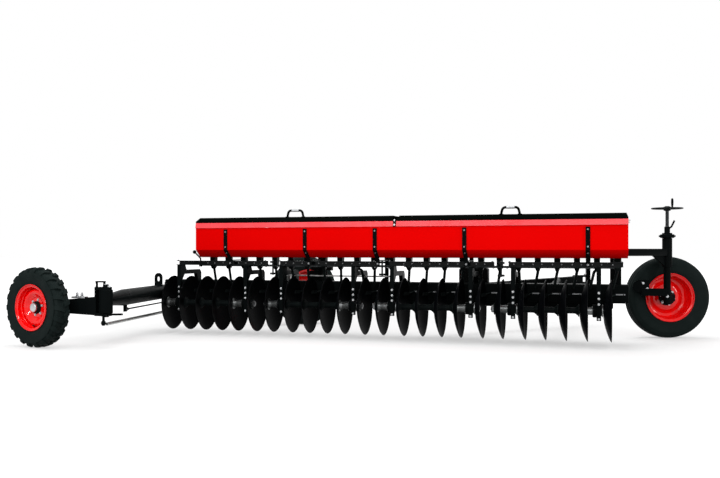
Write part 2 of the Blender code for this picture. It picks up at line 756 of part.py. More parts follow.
def ribbed_tyre(wheel):
    """A tyre with three ribs round its tread."""
    w, big = wheel["width"] / 2, wheel["radius"]
    low = big - GROOVE_DEPTH
    side = sidewall(wheel, WHEEL_SIDES)
    side += [(w * 0.88, big - 0.03), (w * 0.66, big - 0.006), (w * 0.38, big - 0.002),
             (w * 0.34, low), (w * 0.24, low), (w * 0.20, big)]
    return ring([(-x, r) for x, r in side] + list(reversed(side)), WHEEL_SIDES)


def lugged_tyre(wheel):
    """A tyre with lugs on its shoulders, those of one side halfway between those of the other."""
    w, big = wheel["width"] / 2, wheel["radius"]
    count = LUG_COUNT * 4
    profiles = []
    for k in range(count):
        halves = []
        for lug in (k % 4 < 2, k % 4 >= 2):
            drop = 0.0 if lug else LUG_DEPTH
            shoulder = [(w * (0.97 if lug else 0.90), big - 0.034 - drop * 0.4),
                        (w * 0.70, big - 0.006 - drop), (w * 0.36, big - 0.002 - drop)]
            halves.append(sidewall(wheel, count) + shoulder)
        left, right = halves
        profiles.append([(-x, r) for x, r in left] + [(0, big)] + list(reversed(right)))
    return ring_of(profiles)


def make_wheel(name, wheel, tyre, parent):
    """A rim and its tyre on one turning axis."""
    axis = wheel_empty(name + "_axis", wheel, parent)
    for part_name, paint, body in ((name + "_rim", "red_paint", lathe(rim_profile(wheel), RIM_SIDES)),
                                   (name + "_tyre", "tyre_rubber", tyre)):
        node(part_name, paint, [body], at=(*wheel["hub"], wheel["radius"]), turn=wheel["roll"] - 90,
             parent=axis, local=True)
    return axis


def stub_axle(wheel, length):
    """The stub that a wheel turns on, from behind its disc inward."""
    start = wheel["width"] / 2 * 0.28
    hub = Vector((*wheel["hub"], wheel["radius"]))
    inward = Matrix.Rotation(math.radians(wheel["roll"] + 90), 3, "Z") @ Vector((1, 0, 0))
    turn = heading(wheel["roll"] + 90)
    stub = moved(rod(AXLE_RADIUS, length + start, 16), at=hub - inward * start, turn=turn)
    return stub, hub, inward


def make_rear_wheel(parent):
    """The rear furrow wheel on its castor arm, and the bent pipe that carries its kingpin."""
    z = REAR_PIPE_Z
    kx, ky = KINGPIN
    low, high = KINGPIN_BOTTOM, KINGPIN_BOTTOM + KINGPIN_HEIGHT
    ear = 0.022
    bore = (KINGPIN_RADIUS + BEARING_GAP) / math.cos(math.pi / 20)
    flange_y = BEAM_FRONT - SEAT_GAP
    path = [(-0.15, flange_y - 0.01, z), (-0.15, 0, z), (-0.02, -0.8, z), (kx - 0.01, ky + 0.04, z)]
    flange = box(-0.15 - 0.085, -0.15 + 0.085, flange_y - 0.02, flange_y, REAR_FLANGE_BOTTOM, z + 0.085)
    sleeve_low, sleeve_high = low + ear + SEAT_GAP, high - ear - SEAT_GAP
    sleeve = moved(rod(SLEEVE_RADIUS * 1.25, sleeve_high - sleeve_low, 20),
                   at=(kx, ky, sleeve_low), turn=upright())
    hole = moved(rod(bore, KINGPIN_HEIGHT, 20), at=(kx, ky, low - 0.004), turn=upright())
    lug = prism([(-0.04, z + 0.05), (0.04, z + 0.05), (0.04, z + 0.145), (0.034, z + 0.168),
                 (0.018, z + 0.185), (-0.018, z + 0.185), (-0.034, z + 0.168), (-0.04, z + 0.145)],
                -0.158, -0.142)
    link_x, link_y, link_z = LINK_ROD_POINTS[0]
    hanging = prism([(link_y - 0.022, z - 0.03), (link_y + 0.022, z - 0.03), (link_y + 0.022, link_z - 0.02),
                     (link_y - 0.022, link_z - 0.02)], link_x - 0.008, link_x + 0.008)
    link = pipe(LINK_ROD_POINTS, LINK_ROD_RADIUS, 8)
    clevis = pipe([LINK_ROD_POINTS[0], (link_x - 0.009, link_y + 0.07, link_z + 0.0004)],
                  2 * LINK_ROD_RADIUS, 10)
    slot = prism([(-0.014, z + 0.105), (0.014, z + 0.105), (0.014, z + 0.15), (-0.014, z + 0.15)],
                 -0.17, -0.13)
    node("rear_arm", "black_paint", [pipe(path, REAR_PIPE_RADIUS, 16, end_radius=SLEEVE_RADIUS), flange,
                                     sleeve, lug, hanging, link, clevis],
         cuts=[together([hole, slot])], at=(-0.15, BEAM_FRONT, z), parent=parent)
    rod_start = Vector(TIE_ROD_START)
    rod_end = Vector((TIE_ROD_END[0], flange_y - 0.02 - SEAT_GAP - 0.0015, TIE_ROD_END[1]))
    tie = moved(tube(TIE_ROD_RADIUS * 0.7, TIE_ROD_RADIUS, (rod_end - rod_start).length, 14),
                at=rod_start, turn=aimed(rod_start, rod_end))
    node("tie_rod", "bright_steel", [tie], at=tuple(rod_end), parent=parent)

    stub, hub, inward = stub_axle(REAR_WHEEL, 0.09)
    end = hub + inward * 0.10
    toward = Vector((kx, ky, 0)) - Vector((end.x, end.y, 0))
    along = toward.normalized()
    across = Vector((-along.y, along.x, 0))
    gap = SLEEVE_RADIUS * 1.25 + 0.012
    near = Vector((kx, ky, 0)) - along * gap
    tail = Vector((end.x, end.y, 0)) - along * 0.04
    arm = loft([[tuple(at + across * s * half + Vector((0, 0, h)))
                 for s, h in ((1, z0), (-1, z0), (-1, z1), (1, z1))]
                for at, half, z0, z1 in ((near, 0.041, low + 0.005, high - 0.005),
                                         (tail, 0.03, hub.z - 0.04, hub.z + 0.04))])
    ears = []
    for z0 in (low, high - ear):
        corners = [near + across * 0.045 - along * 0.01, Vector((kx, ky, 0)) + across * 0.045,
                   Vector((kx, ky, 0)) + across * 0.02 + along * 0.045,
                   Vector((kx, ky, 0)) - across * 0.02 + along * 0.045,
                   Vector((kx, ky, 0)) - across * 0.045, near - across * 0.045 - along * 0.01]
        ears.append(plate([(c.x, c.y) for c in corners], z0, z0 + ear))
    pin = moved(rod(KINGPIN_RADIUS, KINGPIN_HEIGHT + 0.03, 20), at=(kx, ky, low - 0.01), turn=upright())
    steer_bars = [bar(KINGPIN, end, half, low + 0.004, low + ear - 0.004)
                  for end, half in ((STEER_BALL, 0.019), (STEER_TAIL, 0.024))]
    drop, r = STEER_BALL_DROP, STEER_BALL_RADIUS
    ball = moved(lathe([(-drop - r, 0), (-drop - r * 0.9, r * 0.6), (-drop, r), (-drop + r * 0.8, r * 0.7),
                        (-drop + r, r * 0.5), (0.012, r * 0.5), (0.012, 0)], 12),
                 at=(*STEER_BALL, low), turn=upright())
    loop = pipe([(kx - 0.085, ky, high - 0.006), (kx - 0.085, ky, high + 0.042),
                 (kx - 0.012, ky, high + 0.042), (kx - 0.012, ky, high - 0.006)], 0.012, 4, math.pi / 4)
    arm_node = node("rear_wheel_arm", "black_paint",
                    [arm, together(ears), pin, stub, *steer_bars, ball, loop], at=(kx, ky, z), parent=parent)
    return make_wheel("rear_wheel", REAR_WHEEL, lugged_tyre(REAR_WHEEL), arm_node)


def make_front_wheel(parent):
    """The front furrow wheel under its post, the beam that carries the post, and its depth screw."""
    px, py = POST
    ux, uy = FRONT_UPRIGHT
    half = FRONT_BEAM_SIZE / 2
    z = FRONT_BEAM_Z + half
    bore = (POST_RADIUS + BEARING_GAP) / math.cos(math.pi / 20)
    post_axis = Vector((px, py, 0))
    along = (post_axis - Vector((ux, uy, 0))).normalized()
    end = post_axis - along * (POST_SLEEVE_RADIUS - 0.01)
    beam = pipe([(ux, uy, z), (end.x, end.y, z)], half * math.sqrt(2), 4, math.pi / 4)
    column = box(ux - UPRIGHT_SIZE / 2, ux + UPRIGHT_SIZE / 2, uy - UPRIGHT_SIZE / 2,
                 uy + UPRIGHT_SIZE / 2, BEAM_TOP + SEAT_GAP, FRONT_BEAM_Z + FRONT_BEAM_SIZE)
    sleeve = moved(rod(POST_SLEEVE_RADIUS, POST_SLEEVE_HEIGHT, 20), at=(px, py, POST_SLEEVE_Z),
                   turn=upright())
    hole = moved(rod(bore, POST_SLEEVE_HEIGHT + 0.02, 20), at=(px, py, POST_SLEEVE_Z - 0.01),
                 turn=upright())
    gusset = web([(POST_SLEEVE_RADIUS - 0.006, FRONT_BEAM_Z + 0.01), (GUSSET_LENGTH, FRONT_BEAM_Z + 0.01),
                  (POST_SLEEVE_RADIUS - 0.006, POST_SLEEVE_Z + 0.005)], post_axis, -along, 0.016)
    node("front_beam", "black_paint", [column, beam, sleeve, gusset], cuts=[hole],
         at=(ux, uy, BEAM_TOP), parent=parent)

    stub, hub, inward = stub_axle(FRONT_WHEEL, STUB_LENGTH)
    foot = FRONT_WHEEL["radius"] - 0.055
    collar_z = POST_SLEEVE_Z + POST_SLEEVE_HEIGHT + SEAT_GAP
    collar_top = collar_z + POST_COLLAR_HEIGHT
    tube_top = collar_top + SCREW_TUBE_HEIGHT
    steps = [(foot, 0), (foot, POST_RADIUS), (collar_z, POST_RADIUS), (collar_z, POST_SLEEVE_RADIUS),
             (collar_top, POST_SLEEVE_RADIUS), (collar_top, SCREW_TUBE_RADIUS),
             (tube_top, SCREW_TUBE_RADIUS), (tube_top, 0)]
    post = moved(lathe(steps, 20), at=(px, py, 0), turn=upright())
    knee_end = hub + inward * (FRONT_WHEEL["width"] / 2 + 0.028)
    knee = pipe([(px, py, hub.z), (knee_end.x, knee_end.y, hub.z)], 0.03 * math.sqrt(2), 4, math.pi / 4)
    half = FRONT_ARM_SIZE / 2
    arm_end = px - FRONT_ARM_LENGTH
    front_arm = box(arm_end, px, py - 0.02 - half, py - 0.02 + half, FRONT_ARM_Z - half, FRONT_ARM_Z + half)
    quarter = [(arm_end + 0.06, FRONT_ARM_Z - half * 0.6)]
    quarter += [(arm_end - 0.015 - 0.065 * math.sin(math.radians(a)),
                 FRONT_ARM_Z + 0.045 + 0.065 * math.cos(math.radians(a))) for a in (120, 95, 70, 45, 20, 0)]
    quarter.append((arm_end + 0.06, FRONT_ARM_Z + 0.11))
    bracket = loft([[(x, y, h) for x, h in quarter]
                    for y in (py - 0.02 - half * 0.6, py - 0.02 - half * 0.2)])
    lever = pipe([(px, py, collar_top + 0.03), (px + 0.035, py, collar_top + 0.055),
                  (px + 0.06, py, collar_top + 0.11)], 0.008, 8)
    post_node = node("front_post", "black_paint",
                     [post, knee, stub, front_arm, bracket, lever],
                     at=(px, py, hub.z), parent=parent)
    screw_z = tube_top + SEAT_GAP
    screw = [(screw_z, 0.0), (screw_z, 0.016), (HANDWHEEL_Z - 0.02, 0.016), (HANDWHEEL_Z - 0.02, 0.03),
             (HANDWHEEL_Z + 0.02, 0.03), (HANDWHEEL_Z + 0.02, 0.0)]
    spindle = moved(lathe(screw, 16), at=(px, py, 0), turn=upright())
    rim = moved(ring([(math.cos(a) * 0.009, HANDWHEEL_RADIUS + math.sin(a) * 0.009)
                      for a in [2 * math.pi * k / 6 for k in range(6)]], 20),
                at=(px, py, HANDWHEEL_Z), turn=upright())
    spokes = [pipe([(px, py, HANDWHEEL_Z), (px + HANDWHEEL_RADIUS * math.cos(a),
                                          py + HANDWHEEL_RADIUS * math.sin(a), HANDWHEEL_Z)], 0.007, 6)
              for a in (math.radians(d) for d in (40, 160, 280))]
    knob_at = math.radians(-75)
    knob = moved(lathe([(0, 0), (0, 0.008), (0.03, 0.014), (0.08, 0.011), (0.084, 0)], 12),
                 at=(px + HANDWHEEL_RADIUS * math.cos(knob_at), py + HANDWHEEL_RADIUS * math.sin(knob_at),
                     HANDWHEEL_Z), turn=upright())
    node("depth_screw", "bright_steel", [spindle, rim, *spokes, knob], at=(px, py, screw_z),
         parent=post_node)
    return make_wheel("front_wheel", FRONT_WHEEL, ribbed_tyre(FRONT_WHEEL), post_node)


def make_land_wheel(parent):
    """The land wheel behind the drill, its cranked axle and the lift cylinder that holds the crank."""
    stub, hub, inward = stub_axle(LAND_WHEEL, STUB_LENGTH)
    elbow = hub + inward * (LAND_WHEEL["width"] / 2 + LAND_PIPE_RADIUS + 0.035)
    flange_y = BEAM_BACK + SEAT_GAP
    z = (BEAM_Z + BEAM_TOP) / 2
    x = elbow.x + 0.06
    flange = box(x - 0.085, x + 0.085, flange_y, flange_y + 0.02, z - 0.075, z + 0.075)
    crank = pipe([(x, flange_y + 0.01, z), (x, elbow.y - 0.25, z), (elbow.x, elbow.y, hub.z)],
                 LAND_PIPE_RADIUS, 14)
    knee = pipe([elbow, hub + inward * (LAND_WHEEL["width"] / 2 + 0.02)],
                LAND_PIPE_RADIUS * 0.85, 12)
    node("land_axle", "black_paint", [crank, flange, knee, stub], at=(x, flange_y, z), parent=parent)

    cx, cy, top = LIFT_TOP
    mast_y = BEAM_BACK - 0.04
    mast = box(cx - 0.03, cx + 0.03, mast_y - 0.03, mast_y + 0.03, BEAM_TOP + SEAT_GAP, top + 0.03)
    head = box(cx - 0.02, cx + 0.02, mast_y, cy + 0.03, top - 0.03, top + 0.03)
    node("lift_mast", "black_paint", [mast, head], at=(cx, mast_y, BEAM_TOP), parent=parent)
    drop = top - 0.03 - SEAT_GAP
    barrel = moved(lathe([(0, 0), (0, 0.02), (-0.14, 0.02), (-0.14, 0.012), (-0.24, 0.012), (-0.24, 0)], 16),
                   at=(cx, cy, drop), turn=upright())
    node("lift_cylinder", "bright_steel", [barrel], at=(cx, cy, drop), parent=parent)
    return make_wheel("land_wheel", LAND_WHEEL, ribbed_tyre(LAND_WHEEL), parent)


def make_drawbar(parent):
    """The drawbar on the far side: a tongue and its brace from the main beam, with a hitch jaw."""
    flange_y = BEAM_BACK + SEAT_GAP
    z = (BEAM_Z + BEAM_TOP) / 2
    half = DRAWBAR_SIZE / 2
    hx, hy = HITCH
    tip = Vector((hx, hy, DRAWBAR_Z + half))
    root = Vector((TONGUE_X, flange_y + 0.012, z))
    heading_to = (tip - root).normalized()
    meet = tip - heading_to * 0.42
    tongue = pipe([root, tip - heading_to * 0.10], half * math.sqrt(2) * 0.8, 4, math.pi / 4)
    brace = pipe([Vector((BRACE_X, flange_y + 0.012, z)), meet], half * 0.8, 10)
    flanges = [box(x - FLANGE_HALF, x + FLANGE_HALF, flange_y, flange_y + 0.018, z - 0.075, z + 0.075)
               for x in (TONGUE_X, BRACE_X)]
    side = Vector((-heading_to.y, heading_to.x, 0)) * 0.045
    jaws = []
    for low in (-0.045, 0.025):
        back = tip - heading_to * 0.16
        corners = [back - side, tip - side, tip + heading_to * 0.035 - side * 0.5,
                   tip + heading_to * 0.035 + side * 0.5, tip + side, back + side]
        jaws.append(plate([(c.x, c.y) for c in corners], tip.z + low, tip.z + low + 0.02))
    hole = moved(rod(0.0165, 0.2, 16), at=(tip.x, tip.y, tip.z - 0.1), turn=upright())
    beam_side = box(TONGUE_X - 0.4, BRACE_X + 0.4, BEAM_FRONT, flange_y, BEAM_Z - 0.1, BEAM_TOP + 0.1)
    node("drawbar", "black_paint", [tongue, brace, *flanges, together(jaws)],
         cuts=[together([hole, beam_side])], at=tuple(root), parent=parent)
    pin = moved(lathe([(-0.075, 0), (-0.075, 0.015), (0.0453, 0.015), (0.0453, 0.028), (0.06, 0.028),
                       (0.06, 0.012), (0.12, 0.012), (0.12, 0)], 16),
                at=tip, turn=upright())
    node("hitch_pin", "bright_steel", [pin], at=tuple(tip), parent=parent)


def make_gear_housing(parent):
    """The closed housing of the metering drive on the back of the main beam."""
    x0, x1 = GEAR_START, GEAR_START + GEAR_LENGTH
    y = BEAM_BACK + SEAT_GAP
    body = tapered([(x0, x1, y, y + 0.12, BEAM_Z + 0.05), (x0, x1, y, y + 0.12, 0.62),
                    (x0 + 0.03, x1 - 0.03, y + 0.01, y + 0.11, 0.645)])
    node("gear_housing", "black_paint", [body], at=(x0, y, BEAM_TOP), parent=parent)


def centre_on_floor(machine):
    """Moves the machine so that the origin is under the middle of its bounding box."""
    bpy.context.view_layer.update()
    corners = [obj.matrix_world @ v.co for obj in bpy.data.objects if obj.type == "MESH"
               for v in obj.data.vertices]
    low = [min(c[i] for c in corners) for i in range(3)]
    high = [max(c[i] for c in corners) for i in range(3)]
    machine.location = (-(low[0] + high[0]) / 2, -(low[1] + high[1]) / 2, -low[2])


def main():
    """Builds the whole drill and stands it on the floor about its origin."""
    clear_scene()
    machine = bpy.data.objects.new("machine", None)
    bpy.context.scene.collection.objects.link(machine)
    make_gangs(machine)
    make_hangers(machine)
    make_rails(machine)
    make_rail_links(machine)
    make_beam(machine)
    make_hopper(machine)
    make_lids(machine)
    make_stands(machine)
    make_metering(machine)
    make_rear_wheel(machine)
    make_front_wheel(machine)
    make_land_wheel(machine)
    make_drawbar(machine)
    make_gear_housing(machine)
    centre_on_floor(machine)


main()
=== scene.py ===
"""Looks of the one-way disc seed drill: finishes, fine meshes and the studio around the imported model.

Places are worked out in machine coordinates, as in the model's own source: X = 0 is the rim of the
first disc, Y = 0 the gang axis and Z = 0 the floor. place() turns them into the frame's coordinates.
"""
import json
import math

import bmesh
import bpy
from mathutils import Matrix, Vector


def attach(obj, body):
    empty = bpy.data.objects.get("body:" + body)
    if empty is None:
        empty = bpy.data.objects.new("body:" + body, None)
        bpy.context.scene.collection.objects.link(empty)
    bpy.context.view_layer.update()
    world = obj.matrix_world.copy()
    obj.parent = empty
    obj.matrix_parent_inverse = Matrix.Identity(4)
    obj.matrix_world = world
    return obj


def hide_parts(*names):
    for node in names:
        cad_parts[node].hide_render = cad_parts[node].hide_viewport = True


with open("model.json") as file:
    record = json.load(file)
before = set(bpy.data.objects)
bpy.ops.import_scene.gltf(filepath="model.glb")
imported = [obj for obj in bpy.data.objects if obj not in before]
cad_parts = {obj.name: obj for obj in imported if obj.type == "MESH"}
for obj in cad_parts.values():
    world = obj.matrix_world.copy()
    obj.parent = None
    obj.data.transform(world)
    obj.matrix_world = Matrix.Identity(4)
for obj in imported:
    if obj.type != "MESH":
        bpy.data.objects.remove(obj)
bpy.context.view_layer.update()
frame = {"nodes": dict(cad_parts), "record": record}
NODES = frame["nodes"]
JOINTS = {joint["name"]: joint for joint in frame["record"]["behaviour"]["joints"]}
GANG_AXIS = JOINTS["gang_1_turn"]["pos_m"]

# Camera, from a fit of a pinhole camera to the photograph of 720 by 478 pixels
PHOTO_WIDTH, PHOTO_HEIGHT = 720, 478
FOCAL_PIXELS = 870.0
CENTRE_PIXEL = (300.0, 250.0)
CAMERA_AT = (3.829, -7.538, 0.795)
CAMERA_TURN = 18.7
SENSOR_MM = 36.0

# The discs and their gangs
DISC_RADIUS = 0.255
DISC_DISH = 0.062
DISC_THICK = 0.005
DISC_BEVEL = 0.012
DISC_PITCH = 0.1655
BEARING_PITCH = 0.184
GANG_GAP = 0.168
GANG_COUNT = 4
SPOOL_RADIUS = 0.026
JOURNAL_RADIUS = 0.034
FLARE_RADIUS = 0.052
FLARE_LENGTH = 0.030
GANG_NUT = 0.030
HANGER_OFFSET = 0.085
HANGER_FACE = -0.070
HANGER_BOLT_ZS = (0.445, 0.398, 0.352, 0.232)
BEARING_RADIUS = 0.054

# The rails and the main beam
RAIL_HALF = 0.035
RAIL_WALL = 0.006
RAIL_START = 0.04
RAIL_LENGTH = 0.915
RAIL_Z = 0.653
RAIL_TOP = 0.695
BEAM_FRONT = 0.27
BEAM_BACK = 0.43
BEAM_TOP = 0.502

# The seed hopper, its lids and stands
HOPPER_START = 0.30
HOPPER_LENGTH = 3.785
HOPPER_FRONT = -0.15
HOPPER_WIDTH = 0.40
HOPPER_TOP = 1.045
FACE_Z = 0.796
CHAMFER_Z = 0.732
CHAMFER_IN = 0.09
TROUGH_Z = 0.705
TROUGH_LIFT = 0.022
SHEET = 0.003
LID_HEIGHT = 0.05
LID_EAVE = 0.014
LID_SLOPE_X = 0.012
LID_SLOPE_Y = 0.07
LID_GAP = 0.03
SEAT_GAP = 0.0003
HANDLE_WIDTH = 0.152
HANDLE_ASIDE = 0.015
HANDLE_HEIGHT = 0.06
HINGE_RADIUS = 0.007
HINGE_LENGTH = 0.12
STRAP_THICK = 0.008
STAND_XS = (0.603, 1.374, 2.016, 2.790, 3.779)
STRAP_BOLT_ZS = (0.962, 0.822)
SLOPE_BOLT_SHARE = 0.3
SCRAPER_BAR = (0.02, 3.98, 0.292, 0.345, 0.2985, 0.3417)
SCRAPER_MIDDLE = 0.07
SCRAPER_CLEAR = 0.062
SCRAPER_YS = (0.12, 0.185)
SCRAPER_GAP = 0.004
CUP_COUNT = 24
LEVER_X = 0.24
LEVER_TIP = (-0.05, 0.776)
LEVER_BALL = 0.0175
CUP_Y = 0.085
CUP_LOW = 0.6197
TUBE_RADIUS = 0.012
TUBE_END = (0.215, 0.472)
TUBE_LEAN = 0.032

# The wheels: radius, width, rim radius, rolling direction in degrees and hub place
REAR_WHEEL = dict(name="rear_wheel", radius=0.328, width=0.16, rim=0.19, roll=-15.0, hub=(-0.474, -1.50))
FRONT_WHEEL = dict(name="front_wheel", radius=0.3675, width=0.165, rim=0.22, roll=198.7, hub=(4.45, 1.01))
LAND_WHEEL = dict(name="land_wheel", radius=0.3675, width=0.165, rim=0.22, roll=228.0, hub=(0.885, 1.30))
BEAD_DEPTH = 0.018
RIM_STEEL = 0.005
LUG_COUNT = 22
LUG_DEPTH = 0.016
# A lug's stations: share of the half width, drop of its top, half its length and its skew
LUG_STATIONS = ((0.02, 0.000, 0.010, 0.10), (0.20, 0.0006, 0.014, 0.05), (0.42, 0.002, 0.018, 0.0),
                (0.62, 0.0045, 0.020, -0.03), (0.76, 0.010, 0.021, -0.05), (0.87, 0.020, 0.020, -0.06),
                (0.945, 0.034, 0.018, -0.06), (0.975, 0.050, 0.010, -0.06))
LUG_FLOORS = (0.018, 0.018, 0.020, 0.023, 0.030, 0.040, 0.052, 0.060)
WHEEL_BOLTS = 6
BOLT_CIRCLE = 0.0635

# The wheels' mountings
KINGPIN = (0.10, -1.40)
KINGPIN_TOP = 0.517
EAR_TOP = 0.497
EAR_LOW = 0.264
ARM_CUT = (((0.0198, 0.419), (0.0198, 0.4905), (-0.50, 0.4905), (-0.50, 0.370)), -1.47, -1.33)
PIPE_Z = 0.39
PIPE_RADIUS = 0.07
PIPE_END_RADIUS = 0.045
SLEEVE_RADIUS = 0.0562
POST = (4.44, 0.82)
SCREW_LOW = 1.0013
HANDWHEEL_Z = 1.164
HANDWHEEL_RADIUS = 0.125
HITCH = (3.75, 2.0)
HITCH_PIN_Z = 0.49
DRAWBAR_BOLTS = ((2.45, 3.45), (-0.068, 0.068), (0.365, 0.479))
LIFT_TOP = (0.98, 0.55, 0.6297)
ARM_STUDS = ((-0.155, -0.110), -1.418)
POST_COLLAR_Z = 0.9018
SPOKES = (40, 160, 280)
KNOB_TURN = -75
BEAM_PLATES = (-0.2432, 4.1002)
FEED_ROD_Y = 0.287
FEED_BRACKETS = (1.045, 2.055)
PORTS = (1.32, 1.36, 1.40, 1.44)
TIE_ROD = ((-0.011, -1.20, 0.18), (-0.165, 0.2482, 0.195))
LINK_ROD = ((0.005, -0.93, 0.285), (-0.14, 0.10, 0.29), (-0.17, 0.25, 0.29))

# Fineness of the round pieces, and the radius below which a point lies on the axis
ON_AXIS = 1e-9
DISC_SEGMENTS = 88
TYRE_SEGMENTS = 144
RIM_SEGMENTS = 96
PIPE_SEGMENTS = 40

# The studio: the floor's own glow, the light of the air, and the lamps (name, place, aim, size, power)
FLOOR_GLOW = 0.46
FLOOR_NEAR = 2.6
FLOOR_FAR = 6.0
AIR_LIGHT = 0.66
LAMPS = (("key", (0.9, -8.8, 4.4), (0.7, 0.0, 0.6), (8.0, 2.0), 345.0),
         ("overhead", (0.2, 0.0, 5.5), (0.0, 0.1, 0.5), (8.5, 2.6), 270.0),
         ("side", (8.4, -2.6, 1.8), (4.4, 0.8, 0.4), (0.7, 1.8), 110.0),
         ("spark", (-3.4, -6.4, 2.6), (2.4, 0.0, 0.5), (0.5, 1.6), 80.0))

HOPPER_END = HOPPER_START + HOPPER_LENGTH
LID_SPLIT = HOPPER_START + HOPPER_LENGTH / 2
HOPPER_BACK = HOPPER_FRONT + HOPPER_WIDTH
OFFSET = Vector((GANG_AXIS[0], GANG_AXIS[1], 0.0))
AXLE_Z = GANG_AXIS[2]


def place(x, y, z):
    """A place in machine coordinates as a vector of the frame."""
    return Vector((x + GANG_AXIS[0], y + GANG_AXIS[1], z))


def add_object(name, data):
    """A new object in the scene."""
    obj = bpy.data.objects.new(name, data)
    bpy.context.scene.collection.objects.link(obj)
    return obj


def polar(radius, angle):
    """A point at a radius and an angle, as its two coordinates."""
    return radius * math.cos(angle), radius * math.sin(angle)


def angles(count):
    """The angles of a full turn in equal steps."""
    return [2 * math.pi * k / count for k in range(count)]


# Materials

def shader_nodes(name):
    """A new material with its Principled shader, its node tree and object coordinates."""
    mat = bpy.data.materials.new(name)
    mat.use_nodes = True
    tree = mat.node_tree
    shader = tree.nodes["Principled BSDF"]
    coords = tree.nodes.new("ShaderNodeTexCoord").outputs["Object"]
    return mat, tree, shader, coords


def new_node(tree, kind, inputs, **settings):
    """A node with its settings made and each input set, or linked where it is given an output."""
    node = tree.nodes.new(kind)
    for key, value in settings.items():
        setattr(node, key, value)
    for key, value in inputs.items():
        if isinstance(value, bpy.types.NodeSocket):
            tree.links.new(value, node.inputs[key])
        else:
            node.inputs[key].default_value = value
    return node


def noise(tree, coords, scale, detail=4.0, roughness=0.55, stretch=None):
    """A noise texture's value, optionally stretched along an axis."""
    if stretch is not None:
        coords = new_node(tree, "ShaderNodeMapping", {"Scale": stretch, "Vector": coords}).outputs["Vector"]
    return new_node(tree, "ShaderNodeTexNoise", {"Scale": scale, "Detail": detail, "Roughness": roughness,
                                                 "Vector": coords}).outputs["Fac"]


def ramp(tree, value, low, high, to_low, to_high):
    """A value's range mapped to another range."""
    return new_node(tree, "ShaderNodeMapRange", {"From Min": low, "From Max": high, "To Min": to_low,
                                                 "To Max": to_high, "Value": value}).outputs["Result"]


def mix_colour(tree, factor, first, second):
    """Two colours blended by a value."""
    first, second = ((*c, 1.0) if isinstance(c, tuple) else c for c in (first, second))
    return new_node(tree, "ShaderNodeMix", {"Factor": factor, "A": first, "B": second},
                    data_type="RGBA").outputs["Result"]


def bump(tree, shader, value, strength, distance, base=None):
    """Bump from a value, on top of another bump where there is one."""
    inputs = {"Strength": strength, "Distance": distance, "Height": value}
    if base is not None:
        inputs["Normal"] = base
    normal = new_node(tree, "ShaderNodeBump", inputs).outputs["Normal"]
    tree.links.new(normal, shader.inputs["Normal"])
    return normal


def enamel(name, colour, shade, dust, roughness, gloss, coat):
    """Sprayed enamel: slow changes of tone, a little dust, and the ripple of a sprayed film."""
    mat, tree, shader, coords = shader_nodes(name)
    slow = ramp(tree, noise(tree, coords, 2.2, 3.0), 0.3, 0.7, 0.0, 1.0)
    body = mix_colour(tree, slow, colour, shade)
    speck = ramp(tree, noise(tree, coords, 34.0, 8.0, 0.7), 0.60, 0.78, 0.0, 0.16)
    tree.links.new(mix_colour(tree, speck, body, dust), shader.inputs["Base Color"])
    rough = ramp(tree, noise(tree, coords, 9.0, 5.0), 0.3, 0.7, roughness - 0.05, roughness + 0.08)
    tree.links.new(rough, shader.inputs["Roughness"])
    shader.inputs["Specular IOR Level"].default_value = gloss
    shader.inputs["Coat Weight"].default_value = coat
    shader.inputs["Coat Roughness"].default_value = 0.06
    waves = bump(tree, shader, noise(tree, coords, 7.0, 2.0), 0.10, 0.004)
    bump(tree, shader, noise(tree, coords, 420.0, 2.0), 0.05, 0.0006, waves)
    return mat


def rubber(name, colour, dust):
    """Tyre rubber: fine pebbled skin with a little dust in its lows."""
    mat, tree, shader, coords = shader_nodes(name)
    patch = ramp(tree, noise(tree, coords, 5.0, 6.0, 0.6), 0.45, 0.75, 0.0, 0.35)
    tree.links.new(mix_colour(tree, patch, colour, dust), shader.inputs["Base Color"])
    rough = ramp(tree, noise(tree, coords, 14.0, 5.0), 0.3, 0.7, 0.62, 0.80)
    tree.links.new(rough, shader.inputs["Roughness"])
    shader.inputs["Specular IOR Level"].default_value = 0.06
    grain = bump(tree, shader, noise(tree, coords, 260.0, 6.0, 0.65), 0.30, 0.0012)
    bump(tree, shader, noise(tree, coords, 26.0, 3.0), 0.12, 0.004, grain)
    return mat


def steel(name, colour, shade, metallic, roughness, brushed):
    """Worked steel: fine lines along one way, with a tone that changes slowly."""
    mat, tree, shader, coords = shader_nodes(name)
    tone = ramp(tree, noise(tree, coords, 11.0, 5.0), 0.35, 0.7, 0.0, 1.0)
    tree.links.new(mix_colour(tree, tone, colour, shade), shader.inputs["Base Color"])
    shader.inputs["Metallic"].default_value = metallic
    lines = noise(tree, coords, 60.0, 4.0, 0.6, brushed)
    rough = ramp(tree, lines, 0.3, 0.7, roughness - 0.06, roughness + 0.12)
    tree.links.new(rough, shader.inputs["Roughness"])
    bump(tree, shader, lines, 0.08, 0.0008)
    return mat


